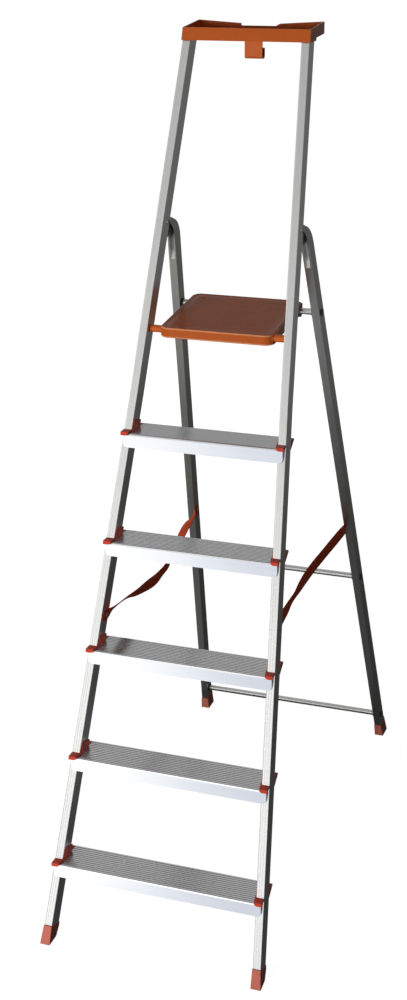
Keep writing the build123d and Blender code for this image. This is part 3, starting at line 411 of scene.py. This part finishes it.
def woven_webbing(name, base, width):
    """Herringbone webbing on the band's own map: U is across the width and V along the length, in metres."""

    def build(tree):
        start = tree.node("ShaderNodeUVMap", {"uv_map": "band"})
        across = tree.part(start, 0)
        along = tree.part(start, 1)
        ribs = (across * (2 * math.pi * WEBBING_RIBS / width)).sine()
        slope = (across * (math.pi * WEBBING_RIBS / width)).sine().sign()
        yarns = (along * (2 * math.pi / YARN_PITCH) + slope * across * (2 * math.pi / SLANT_PITCH)).sine()
        weave = 0.5 + 0.25 * ribs + 0.25 * yarns
        selvedge = (across / width - 0.5).size().step(0.40, 0.47)
        fuzz = tree.noise(tree.place(), 1500.0, 3.0, 0.7)
        fade = tree.noise(tree.place(), 24.0, 3.0, 0.6)
        cloth = tree.blend(weave, shade(base, 0.55), shade(base, 1.2))
        cloth = tree.blend(fade * 0.5, cloth, shade(base, 0.8))
        cloth = tree.blend(selvedge * 0.5, cloth, shade(base, 0.6))
        rough = 0.82 + 0.14 * (fuzz - 0.5)
        height = weave + 0.35 * fuzz + 0.4 * selvedge
        bump = tree.node("ShaderNodeBump", {}, {"Strength": 0.5, "Distance": 0.0006, "Height": height})
        return {"Base Color": cloth, "Roughness": rough, "Normal": bump}

    constants = {"Metallic": 0.0, "Sheen Weight": 0.04, "Sheen Roughness": 0.5, "Specular IOR Level": 0.12}
    return surface(name, constants, build)


def dress(material, *nodes):
    """Gives construction nodes one material."""
    for name in nodes:
        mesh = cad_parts[name].data
        mesh.materials.clear()
        mesh.materials.append(material)


def matching(*starts):
    """Names of the construction nodes that start with any of some words."""
    return [name for name in sorted(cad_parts) if name.startswith(starts)]


def smooth_route(points, count):
    """Even points on a curve through given ones: cubic pieces whose slopes come from the neighbours."""
    points = np.asarray(points, float)
    steps = np.linalg.norm(np.diff(points[:, :2], axis=0), axis=1)
    at = np.concatenate([[0.0], np.cumsum(steps)])
    slopes = np.gradient(points, at, axis=0)
    u = np.linspace(0.0, at[-1], count)
    k = np.clip(np.searchsorted(at, u, side="right") - 1, 0, len(at) - 2)
    h = (at[k + 1] - at[k])[:, None]
    t = ((u - at[k])[:, None]) / h
    low, high = points[k], points[k + 1]
    curve = (2 * t**3 - 3 * t**2 + 1) * low + (t**3 - 2 * t**2 + t) * h * slopes[k]
    curve += (3 * t**2 - 2 * t**3) * high + (t**3 - t**2) * h * slopes[k + 1]
    return curve


def band_section(width, thickness, corner_points=3, roundness=0.42):
    """Outline of a flat band as (across, through): a rectangle whose four corners are small round arcs."""
    radius = roundness * thickness
    turns = np.linspace(0.0, math.pi / 2, corner_points)
    arc = np.stack([np.cos(turns), np.sin(turns)], 1) * radius
    x, y = width / 2 - radius, thickness / 2 - radius
    corners = []
    for quarter, (sx, sy) in enumerate(((1, 1), (-1, 1), (-1, -1), (1, -1))):
        c, s = round(math.cos(quarter * math.pi / 2)), round(math.sin(quarter * math.pi / 2))
        turned = arc @ np.array([[c, s], [-s, c]])
        corners.append(turned + np.array([sx * x, sy * y]))
    return np.concatenate(corners)


def strap_mesh(name, route, side, width, thickness, x_front, x_rear, count=220):
    """A band carried along its route: each ring is its section, square to the path and then twisted."""
    line = smooth_route(route, count)
    y, z, bow, twist = line[:, 0], line[:, 1], line[:, 2], np.radians(line[:, 3])
    share = (y - y[0]) / (y[-1] - y[0])
    x = side * (x_front + (x_rear - x_front) * share - bow)
    path = np.stack([x, y, z], 1)
    ahead = np.gradient(path, axis=0)
    ahead /= np.linalg.norm(ahead, axis=1, keepdims=True)
    out = np.tile([1.0, 0.0, 0.0], (count, 1))
    up = np.cross(out, ahead)
    up /= np.linalg.norm(up, axis=1, keepdims=True)
    out = np.cross(ahead, up)
    wide = np.cos(twist)[:, None] * up + np.sin(twist)[:, None] * out
    thick = np.cos(twist)[:, None] * out - np.sin(twist)[:, None] * up
    section = band_section(width, thickness)
    rings = path[:, None, :] + section[None, :, 0, None] * wide[:, None, :]
    rings = rings + section[None, :, 1, None] * thick[:, None, :]
    per_ring = len(section)
    places = rings.reshape(-1, 3)
    ring, spoke = np.meshgrid(np.arange(count - 1), np.arange(per_ring), indexing="ij")
    after = (spoke + 1) % per_ring
    quads = np.stack([ring * per_ring + spoke, ring * per_ring + after,
                      (ring + 1) * per_ring + after, (ring + 1) * per_ring + spoke], -1).reshape(-1, 4)
    faces = [tuple(q) for q in quads.tolist()]
    faces.append(tuple(range(per_ring - 1, -1, -1)))
    faces.append(tuple(range((count - 1) * per_ring, count * per_ring)))
    mesh = bpy.data.meshes.new(name)
    mesh.from_pydata(places.tolist(), [], faces)
    run = np.concatenate([[0.0], np.cumsum(np.linalg.norm(np.diff(path, axis=0), axis=1))])
    corner_of = np.empty(len(mesh.loops), np.int32)
    mesh.loops.foreach_get("vertex_index", corner_of)
    band = mesh.uv_layers.new(name="band")
    uv = np.stack([section[corner_of % per_ring, 0] + width / 2, run[corner_of // per_ring]], 1)
    band.data.foreach_set("uv", uv.astype(np.float32).ravel())
    mesh.validate()
    mesh.polygons.foreach_set("use_smooth", np.ones(len(mesh.polygons), bool))
    mesh.update()
    return mesh, path, run[-1]


def pan_place(x, along, level):
    """World places of points of the platform's own frame, which is turned about its pivot by the tilt."""
    turn = math.radians(PLATFORM_TILT)
    y = PLATFORM_PIVOT[0] + along * math.cos(turn) - level * math.sin(turn)
    z = PLATFORM_PIVOT[1] + along * math.sin(turn) + level * math.cos(turn)
    return np.stack([x, y, z], -1).reshape(-1, 3)


def pan_outline(arc_points=15, side_points=26):
    """Outline of the skirt and its outward normals: a rectangle whose corners are quarter circles."""
    turns = np.linspace(0.0, math.pi / 2, arc_points)
    x, low, high = PAN_HALF - PAN_CORNER, PAN_FRONT + PAN_CORNER, PAN_REAR - PAN_CORNER
    arcs, normals = [], []
    for quarter, centre in enumerate(((x, high), (-x, high), (-x, low), (x, low))):
        ways = turns + quarter * math.pi / 2
        normals.append(np.stack([np.cos(ways), np.sin(ways)], 1))
        arcs.append(np.array(centre) + PAN_CORNER * normals[-1])
    points, outward = [], []
    for quarter in range(4):
        after = arcs[(quarter + 1) % 4][0]
        run = np.linspace(arcs[quarter][-1], after, side_points + 2)[1:-1]
        points += [arcs[quarter], run]
        outward += [normals[quarter], np.tile(normals[quarter][-1], (side_points, 1))]
    return np.concatenate(points), np.concatenate(outward)


def ring_faces(rings, per_ring):
    """Quads of a closed tube: each ring is joined to the next, and the last one to the first."""
    ring, spoke = np.meshgrid(np.arange(rings), np.arange(per_ring), indexing="ij")
    ahead, after = (ring + 1) % rings, (spoke + 1) % per_ring
    quads = [ring * per_ring + spoke, ahead * per_ring + spoke,
             ahead * per_ring + after, ring * per_ring + after]
    return np.stack(quads, -1).reshape(-1, 4).tolist()


def pan_edge():
    """Rolled edge, skirt and bead: a closed profile carried round the outline, its foot along the rise."""
    outline, normals = pan_outline()
    edge, bead, inner = (np.array(points) / 1000 for points in (PAN_EDGE, PAN_BEAD, PAN_INNER))
    foot = np.interp(outline[:, 1], PAN_RISE, (PAN_LOW, PAN_REAR_LOW))[:, None]
    levels = [np.tile(PAN_TOP + edge[:, 1], (len(outline), 1)), foot + bead[:, 1],
              np.tile(PAN_UNDER + inner[:, 1], (len(outline), 1))]
    levels = np.concatenate(levels, 1)
    offsets = np.concatenate([edge[:, 0], bead[:, 0], inner[:, 0]])
    spots = outline[:, None, :] + offsets[None, :, None] * normals[:, None, :]
    return pan_place(spots[..., 0], spots[..., 1], levels), ring_faces(*levels.shape)


def pan_panel(rows=261, columns=121):
    """Panel inside the edge: even rows, as wide as the rounded outline there, with low ribs and two holes."""
    half, corner = PAN_HALF - PAN_INSET, PAN_CORNER - PAN_INSET
    along = np.linspace(PAN_FRONT + PAN_INSET, PAN_REAR - PAN_INSET, rows)
    margin = np.minimum(along - along[0], along[-1] - along)
    bite = np.clip(corner - margin, 0.0, corner)
    width = half - corner + np.sqrt(corner**2 - bite**2)
    x = np.linspace(-1.0, 1.0, columns)[None, :] * width[:, None]
    along = np.repeat(along[:, None], columns, 1)
    phase = np.abs(np.mod(along - PAN_FRONT, PAN_RIB_PITCH) - PAN_RIB_PITCH / 2)
    reach = np.minimum(half - np.abs(x), margin[:, None])
    fade = np.clip((reach - PAN_RIB_MARGIN) / PAN_RIB_FADE, 0.0, 1.0)
    level = PAN_TOP - PAN_DROP + PAN_RIB_HEIGHT * fade * np.exp(-((phase / PAN_RIB_WIDTH) ** 2))
    away = np.hypot(np.abs(x) - PAN_HOLE[0], along - PAN_HOLE[1])
    level -= HOLE_DEPTH * np.clip((PAN_HOLE[2] + HOLE_RIM / 2 - away) / HOLE_RIM, 0.0, 1.0)
    top = pan_place(x, along, level)
    grid = np.arange(rows * columns).reshape(rows, columns)
    quads = np.stack([grid[:-1, :-1], grid[:-1, 1:], grid[1:, 1:], grid[1:, :-1]], -1)
    quads = quads.reshape(-1, 4).tolist()
    rim = np.concatenate([grid[0], grid[1:, -1], grid[-1, -2::-1], grid[-2:0:-1, 0]])
    under = pan_place(x.ravel()[rim], along.ravel()[rim], np.full(len(rim), PAN_UNDER))
    below = len(top) + np.arange(len(rim))
    quads += np.stack([rim, below, np.roll(below, -1), np.roll(rim, -1)], -1).tolist()
    quads.append(below[::-1].tolist())
    return np.concatenate([top, under]), quads


def slab(outline, x_low, x_high):
    """A flat plate: an outline in the platform's side view carried across from one X to another."""
    outline = np.array(outline)
    count = len(outline)
    sides = [pan_place(np.full(count, x), outline[:, 0], outline[:, 1]) for x in (x_low, x_high)]
    step = np.arange(count)
    after = (step + 1) % count
    faces = np.stack([step, after, after + count, step + count], -1).tolist()
    faces += [step[::-1].tolist(), (step + count).tolist()]
    return np.concatenate(sides), faces


def clip_outline(arc_points=14):
    """Side view of a clip: a ring round the bar, open below from an upright to a sloping wall, and a pad."""
    inner, outer = CLIP_RADII
    slope = math.tan(math.radians(CLIP_MOUTH))
    square, middle = 1 + slope**2, inner * slope
    drop = (math.sqrt(middle**2 + square * (outer**2 - inner**2)) - middle) / square
    left = math.pi + math.asin(drop / outer)
    right = 2 * math.pi - math.acos(inner / outer)
    arcs = []
    for radius, start, end in ((outer, math.pi, left), (inner, math.pi, 0.0), (outer, right, 2 * math.pi)):
        turns = np.linspace(start, end, arc_points)
        arcs.append(np.array(CLIP_BAR) + radius * np.stack([np.cos(turns), np.sin(turns)], 1))
    front, rear, step = CLIP_BAR[0] - outer, CLIP_BAR[0] + outer, PAN_REAR - CLIP_SETBACK
    pad = [(rear, PAN_REAR_LOW), (step, PAN_REAR_LOW), (step, PAN_UNDER), (front, PAN_UNDER)]
    return np.concatenate([*arcs, np.array(pad)])


def pan_shells(boss_points=32):
    """Closed shells of the platform: edge, panel, stiffening ribs below it and the bosses round its pins."""
    shells = [pan_edge(), pan_panel()]
    low, high = PAN_LOW + WEB_LIFT, PAN_UNDER + WEB_BITE
    front, rear = PAN_FRONT + WEB_GAP, PAN_REAR - WEB_GAP
    side_view = [(front, low), (PAN_RISE[0] + WEB_SLOPE, low), (PAN_RISE[1], PAN_REAR_LOW),
                 (rear, PAN_REAR_LOW), (rear, high), (front, high)]
    shells += [slab(side_view, x - WEB_HALF, x + WEB_HALF) for x in WEB_LONG]
    across = PAN_HALF - WEB_GAP
    for along in WEB_CROSS:
        start, end = along - WEB_HALF, along + WEB_HALF
        shells.append(slab([(start, low), (end, low), (end, high), (start, high)], -across, across))
    turns = np.linspace(0.0, 2 * math.pi, boss_points, endpoint=False)
    boss = np.stack([BOSS_RADIUS * np.cos(turns), np.minimum(BOSS_RADIUS * np.sin(turns), high)], 1)
    shells.append(slab(boss, -across - WEB_HALF, -BOSS_INNER))
    shells.append(slab(boss, BOSS_INNER, across + WEB_HALF))
    return shells


def joined_mesh(name, shells):
    """One mesh of several closed shells, each turned so that its faces point outwards."""
    places, faces, start = [], [], 0
    for points, sides in shells:
        corners = np.array([(s[0], s[k], s[k + 1]) for s in sides for k in range(1, len(s) - 1)])
        near = points - points.mean(0)
        a, b, c = near[corners[:, 0]], near[corners[:, 1]], near[corners[:, 2]]
        inside_out = np.einsum("ij,ij->i", a, np.cross(b, c)).sum() < 0
        faces += [tuple(start + k for k in (reversed(s) if inside_out else s)) for s in sides]
        places.append(points)
        start += len(points)
    mesh = bpy.data.meshes.new(name)
    mesh.from_pydata(np.concatenate(places).tolist(), [], faces)
    mesh.validate()
    return mesh


def new_piece(mesh, material):
    """An object of a finished mesh, with its name and one material, in the scene."""
    mesh.materials.append(material)
    piece = bpy.data.objects.new(mesh.name, mesh)
    bpy.context.scene.collection.objects.link(piece)
    return piece


class MetalSettings(bpy.types.PropertyGroup):
    """Colours of the metal pieces."""
    profile: FloatVectorProperty(name="Profile", description="Drawn aluminium of the stiles and bars",
                                 subtype="COLOR", default=(0.72, 0.72, 0.70))
    leg: FloatVectorProperty(name="Leg", description="Drawn aluminium of the rear legs",
                             subtype="COLOR", default=(0.48, 0.48, 0.45))
    tread: FloatVectorProperty(name="Tread", description="Drawn aluminium of the treads",
                               subtype="COLOR", default=(0.80, 0.80, 0.81))
    steel: FloatVectorProperty(name="Steel", description="Zinc plating of rivets, screws and pins",
                               subtype="COLOR", default=(0.42, 0.42, 0.43))
    roughness: FloatProperty(name="Roughness", description="Dullness of the drawn aluminium",
                             default=0.30, min=0.05, max=1.0, subtype="FACTOR")


class PlasticSettings(bpy.types.PropertyGroup):
    """Colours of the moulded pieces."""
    orange: FloatVectorProperty(name="Orange", description="Tray, bucket hook and platform pins",
                                subtype="COLOR", default=(0.57, 0.110, 0.011))
    # The platform's colour is the orange made about an eighth darker: painted shade for its dimly lit top.
    platform: FloatVectorProperty(name="Platform", description="Platform", subtype="COLOR",
                                  default=(0.50, 0.096, 0.010))
    clip: FloatVectorProperty(name="Clip", description="Tread clips", subtype="COLOR",
                              default=(0.60, 0.052, 0.020))
    foot: FloatVectorProperty(name="Foot", description="Foot sleeves", subtype="COLOR",
                              default=(0.56, 0.155, 0.110))
    # The hinge blocks' dark grey is set to the tone of the shade inside the legs' arches: a plastic part
    # coloured as painted shade.
    block: FloatVectorProperty(name="Block", description="Hinge blocks", subtype="COLOR",
                               default=(0.115, 0.110, 0.104))
    dark: FloatVectorProperty(name="Dark", description="Collars, plugs and platform clips",
                              subtype="COLOR", default=(0.040, 0.037, 0.034))


class StrapSettings(bpy.types.PropertyGroup):
    """Size and colour of the two straps."""
    width: FloatProperty(name="Width", description="Width of the webbing", default=0.025, min=0.005,
                         unit="LENGTH")
    thickness: FloatProperty(name="Thickness", description="Thickness of the webbing", default=0.0014,
                             min=0.0005, unit="LENGTH")
    webbing: FloatVectorProperty(name="Webbing", description="Colour of the webbing", subtype="COLOR",
                                 default=(0.84, 0.100, 0.028))


class StudioSettings(bpy.types.PropertyGroup):
    """Light of the plain studio."""
    key_power: FloatProperty(name="Key power", description="Power of the large lamp in front", default=165.0,
                             min=0.0, unit="POWER")
    fill_power: FloatProperty(name="Fill power", description="Power of the lamp behind", default=60.0,
                              min=0.0, unit="POWER")
    top_power: FloatProperty(name="Top power", description="Power of the lamp overhead", default=12.0,
                             min=0.0, unit="POWER")
    ambient: FloatProperty(name="Ambient", description="Strength of the even light from all round",
                           default=0.06, min=0.0, max=1.0, subtype="FACTOR")
    floor_size: FloatProperty(name="Floor size", description="Side of the square floor", default=120.0,
                              min=5.0, unit="LENGTH")


class StepladderSettings(bpy.types.PropertyGroup):
    """All settings of the stepladder's looks."""
    metal: PointerProperty(type=MetalSettings)
    plastic: PointerProperty(type=PlasticSettings)
    strap: PointerProperty(type=StrapSettings)
    studio: PointerProperty(type=StudioSettings)


def settings():
    """The settings of the open scene."""
    return bpy.context.scene.stepladder


class STEPLADDER_OT_metal(bpy.types.Operator):
    """Gives the stiles, legs, bars and treads drawn aluminium and the fixings plated steel"""
    bl_idname = "stepladder.metal"
    bl_label = "Finish the metal"

    def execute(self, context):
        metal = settings().metal
        for side, sign in (("left", 1), ("right", -1)):
            stile = drawn_aluminium(f"drawn_aluminium_stile_{side}", metal.profile,
                                    (STILE_LEAN, sign * -STILE_TAPER, 0), metal.roughness)
            dress(stile, f"stile_{side}")
            leg = drawn_aluminium(f"drawn_aluminium_leg_{side}", metal.leg,
                                  (-LEG_LEAN, sign * -LEG_TAPER, 0), metal.roughness + LEG_ROUGHER)
            dress(leg, f"rear_leg_{side}")
        bars = drawn_aluminium("drawn_aluminium_bar", metal.profile, (0, 90, 0), metal.roughness)
        dress(bars, "platform_bar", "middle_bar", "lower_bar")
        treads = ribbed_aluminium("ribbed_aluminium_tread_groove_shade", metal.tread, metal.roughness - TREAD_SMOOTHER)
        dress(treads, *[f"tread_{n}" for n in range(1, 6)])
        steel = plated_steel("plated_steel", metal.steel)
        dress(steel, *[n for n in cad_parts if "rivets" in n or "screws" in n], *matching("hinge_pin"))
        return {"FINISHED"}


class STEPLADDER_OT_plastic(bpy.types.Operator):
    """Gives the tray, hook, tread clips, feet, collars, plugs and hinge blocks moulded plastic"""
    bl_idname = "stepladder.plastic"
    bl_label = "Finish the plastic"

    def execute(self, context):
        plastic = settings().plastic
        orange = moulded_plastic("orange_plastic", plastic.orange, 0.34, grain=0.10, coat=0.18, edge=0.0014)
        dress(orange, "tool_tray", "bucket_hook", *matching("platform_pin"))
        clip = moulded_plastic("clip_plastic", plastic.clip, 0.36, grain=0.12)
        dress(clip, *matching("tread_clip"))
        foot = moulded_plastic("foot_plastic", plastic.foot, 0.42, grain=0.16)
        dress(foot, *matching("front_foot", "rear_foot"))
        dark = moulded_plastic("dark_plastic", plastic.dark, 0.50, grain=0.20)
        dress(dark, *matching("bar_collars", "bar_plugs"))
        # Painted shade: the hinge blocks' dark grey stands for the shade inside the arches of the legs.
        block = moulded_plastic("hinge_block_shade_plastic", plastic.block, 0.38, grain=0.16)
        dress(block, *matching("hinge_block"))
        return {"FINISHED"}


class STEPLADDER_OT_platform(bpy.types.Operator):
    """Gives the platform its rolled edge, beaded skirt and low ribs, and its clips their rings"""
    bl_idname = "stepladder.platform"
    bl_label = "Shape the platform"

    def execute(self, context):
        plastic = settings().plastic
        shells = pan_shells()
        edge, panel = shells[:2]
        mesh = joined_mesh("platform_pan", shells)
        smooth = np.zeros(len(mesh.polygons), bool)
        smooth[:len(edge[1]) + len(panel[1]) - 1] = True
        mesh.polygons.foreach_set("use_smooth", smooth)
        mesh.update()
        # Painted highlight along the shoulder of the rolled edge and the crest of the bead, kept as a point
        # attribute.
        painted_highlight = np.zeros(len(mesh.vertices), np.float32)
        profiles = painted_highlight[:len(edge[0])].reshape(-1, len(PAN_EDGE) + len(PAN_BEAD) + len(PAN_INNER))
        profiles[:, PAN_HIGHLIGHT_POINTS] = 1.0
        mesh.attributes.new("painted_highlight", "FLOAT", "POINT").data.foreach_set("value", painted_highlight)
        # The platform takes the darker copy of the orange, painted shade.
        shiny = moulded_plastic("platform_plastic_painted_highlight_shade", plastic.platform, 0.22, grain=0.04, coat=0.06, gloss=0.14,
                                painted_edge_highlight=True)
        piece = new_piece(mesh, shiny)
        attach(piece, "platform_body")
        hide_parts("platform")
        dark = moulded_plastic("clip_dark_plastic", plastic.dark, 0.50, grain=0.20)
        for side, sign in (("left", -1), ("right", 1)):
            reach = sorted(sign * x for x in CLIP_REACH)
            clip = new_piece(joined_mesh(f"bar_clip_{side}", [slab(clip_outline(), *reach)]), dark)
            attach(clip, "platform_body")
            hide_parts(f"platform_clip_{side}")
        return {"FINISHED"}


class STEPLADDER_OT_straps(bpy.types.Operator):
    """Lays the two webbing straps from the stiles to the rear legs"""
    bl_idname = "stepladder.straps"
    bl_label = "Lay the straps"

    def execute(self, context):
        strap = settings().strap
        for side, sign, route in (("left", -1, STRAP_LEFT), ("right", 1, STRAP_RIGHT)):
            node = f"strap_{side}"
            low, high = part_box(node)
            reach = sorted((abs(low.x), abs(high.x)))
            x_front = reach[0] + strap.thickness / 2
            x_rear = reach[1] - strap.thickness / 2
            mesh, path, length = strap_mesh(f"webbing_{side}", route, sign, strap.width, strap.thickness,
                                            x_front, x_rear)
            piece = new_piece(mesh, woven_webbing(f"woven_webbing_{side}", strap.webbing, strap.width))
            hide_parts(node)
            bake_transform(piece)
        return {"FINISHED"}


def ray_kinds(tree):
    """Three shares that are 1 for rays from the camera, for reflections and for rays through clear things."""
    kinds = ("Is Camera Ray", "Is Glossy Ray", "Is Transmission Ray")
    return [tree.node("ShaderNodeLightPath", output=kind) for kind in kinds]


def floor_glow(forward, across, away, front, right):
    """Strength of the floor in reflections: pale in front, two weak fields under the ladder, else dark."""
    dim = 1 - FAR_LOSS * forward.step(*FAR_FRONT)
    middle = across.step(*MIDDLE_FIELD[0]) * (1 - across.step(*MIDDLE_FIELD[1]))
    beneath = LEFT_LIGHT * (1 - across.step(*LEFT_FIELD)) + MIDDLE_LIGHT * middle
    beneath = beneath * forward.step(*FIELD_DEPTH[0]) * (1 - forward.step(*FIELD_DEPTH[1]))
    far = AWAY_LIGHT * away.step(*AWAY_RISE)
    return FLOOR_DARK + beneath + far + front * dim * (PALE_LIGHT - COOL_LOSS * right)


def floor_material(name):
    """White to the camera with a faint shadow; to reflections pale in front of the ladder, dark under it."""
    material = bpy.data.materials.new(name)
    material.use_nodes = True
    tree = Finish(material.node_tree)
    nodes = material.node_tree.nodes
    nodes.remove(nodes["Principled BSDF"])
    where = tree.place()
    away = tree.node("ShaderNodeVectorMath", {"operation": "LENGTH"}, {0: where}, "Value")
    forward = 0 - tree.part(where, 1)
    across = tree.part(where, 0)
    pale = (across + PALE_SLANT * (forward - SLANT_FROM)).step(*PALE_EDGE)
    front = forward.step(*PALE_START) * (PALE_REST + (1 - PALE_REST) * pale)
    right = (across + COOL_SLANT * (forward - SLANT_FROM)).step(*COOL_EDGE)
    glow = floor_glow(forward, across, away, front, right)
    seen, mirrored, clear = ray_kinds(tree)
    white = WHITE_NEAR + WHITE_GAIN * away.step(*WHITE_RISE)
    strength = seen * white + (1 - seen) * (mirrored + clear) * glow
    tint = tree.blend((1 - seen) * right * front, colour((1, 1, 1)), colour(COOL_TINT))
    light = tree.node("ShaderNodeEmission", {}, {"Color": tint, "Strength": strength})
    soft = tree.node("ShaderNodeBsdfDiffuse", {}, {"Color": colour([SHADOW_SHARE] * 3)})
    none = tree.node("ShaderNodeBsdfDiffuse", {}, {"Color": colour((0, 0, 0))})
    ground = tree.node("ShaderNodeMixShader", {}, {0: mirrored, 1: soft, 2: none})
    both = tree.node("ShaderNodeAddShader", {}, {0: light, 1: ground})
    plug(material.node_tree, nodes["Material Output"].inputs["Surface"], both)
    return material


def studio_world(ambient):
    """White to the camera, an even dim light to matt surfaces, a room with a bright front to shiny ones."""
    world = bpy.data.worlds.new("plain_studio")
    world.use_nodes = True
    tree = Finish(world.node_tree)
    way = tree.node("ShaderNodeTexCoord", output="Generated")
    across, depth, height = (tree.part(way, axis) for axis in range(3))
    front = (0 - depth).step(*FRONT_EDGE)
    front_light = FRONT_LIGHT
    for loss, heights in FRONT_LOSSES:
        front_light = front_light - loss * height.step(*heights)
    rear_light = REAR_LIGHT + REAR_GAIN * height.step(*REAR_RISE)
    left = 1 - LEFT_GAIN * across
    room = (rear_light + front * (front_light - rear_light)) * left
    seen, mirrored, clear = ray_kinds(tree)
    shiny = (1 - seen) * (mirrored + clear)
    strength = seen + shiny * room + (1 - seen) * (1 - mirrored) * (1 - clear) * ambient
    background = world.node_tree.nodes["Background"]
    background.inputs["Color"].default_value = colour((1, 1, 1))
    plug(world.node_tree, background.inputs["Strength"], strength)
    return world


def soft_lamp(name, place, size, power):
    """A square area lamp that looks from its place to the ladder and doesn't show in reflections."""
    lamp = bpy.data.lights.new(name, "AREA")
    lamp.shape = "SQUARE"
    lamp.size = size
    lamp.energy = power
    stand = bpy.data.objects.new(name, lamp)
    stand.location = place
    stand.rotation_euler = (Vector(LAMP_TARGET) - Vector(place)).to_track_quat("-Z", "Y").to_euler()
    stand.visible_glossy = False
    bpy.context.scene.collection.objects.link(stand)


def photo_camera():
    """The camera: its axes come from yaw and pitch, then turn about the view by the roll."""
    yaw, pitch, roll = (math.radians(a) for a in (CAMERA_YAW, CAMERA_PITCH, CAMERA_ROLL))
    ahead = Vector((-math.sin(yaw) * math.cos(pitch), math.cos(yaw) * math.cos(pitch), math.sin(pitch)))
    right = Vector((math.cos(yaw), math.sin(yaw), 0.0))
    up = right.cross(ahead)
    right, up = math.cos(roll) * right + math.sin(roll) * up, math.cos(roll) * up - math.sin(roll) * right
    lens = bpy.data.cameras.new("camera")
    lens.sensor_fit = "VERTICAL"
    lens.sensor_height = SENSOR_HEIGHT
    lens.lens = SENSOR_HEIGHT * CAMERA_FOCAL
    lens.clip_end = VIEW_END
    camera = bpy.data.objects.new("camera", lens)
    turn = Matrix((right, up, -ahead)).transposed().to_4x4()
    camera.matrix_world = Matrix.Translation(CAMERA_PLACE) @ turn
    bpy.context.scene.collection.objects.link(camera)
    return camera


class STEPLADDER_OT_studio(bpy.types.Operator):
    """Sets up the pale floor, the lamps, the surroundings and the camera"""
    bl_idname = "stepladder.studio"
    bl_label = "Set up the studio"

    def execute(self, context):
        studio = settings().studio
        scene = context.scene
        half = studio.floor_size / 2
        mesh = bpy.data.meshes.new("floor")
        corners = [(-half, -half, 0), (half, -half, 0), (half, half, 0), (-half, half, 0)]
        mesh.from_pydata(corners, [], [(0, 1, 2, 3)])
        floor = new_piece(mesh, floor_material("pale_floor"))
        scene.world = studio_world(studio.ambient)
        soft_lamp("key_lamp", *KEY_LAMP, studio.key_power)
        soft_lamp("rear_lamp", *REAR_LAMP, studio.fill_power)
        soft_lamp("top_lamp", *TOP_LAMP, studio.top_power)
        scene.camera = photo_camera()
        scene.view_settings.view_transform = "Standard"
        return {"FINISHED"}


class STEPLADDER_PT_panel(bpy.types.Panel):
    """Lists the steps that finish the stepladder"""
    bl_idname = "STEPLADDER_PT_panel"
    bl_label = "Stepladder"
    bl_space_type = "VIEW_3D"
    bl_region_type = "UI"
    bl_category = "Stepladder"

    def draw(self, context):
        for step in STEPS:
            self.layout.operator(step.bl_idname)


STEPS = (STEPLADDER_OT_metal, STEPLADDER_OT_plastic, STEPLADDER_OT_platform, STEPLADDER_OT_straps,
         STEPLADDER_OT_studio)
CLASSES = (MetalSettings, PlasticSettings, StrapSettings, StudioSettings, StepladderSettings, *STEPS,
           STEPLADDER_PT_panel)


def register():
    """Registers the classes and gives every scene its settings."""
    for item in CLASSES:
        bpy.utils.register_class(item)
    bpy.types.Scene.stepladder = PointerProperty(type=StepladderSettings)


def unregister():
    """Takes the settings and the classes away again."""
    del bpy.types.Scene.stepladder
    for item in reversed(CLASSES):
        bpy.utils.unregister_class(item)


def main():
    """Runs every step in order."""
    register()
    bpy.ops.stepladder.metal()
    bpy.ops.stepladder.plastic()
    bpy.ops.stepladder.platform()
    bpy.ops.stepladder.straps()
    bpy.ops.stepladder.studio()


if __name__ == "__main__":
    main()
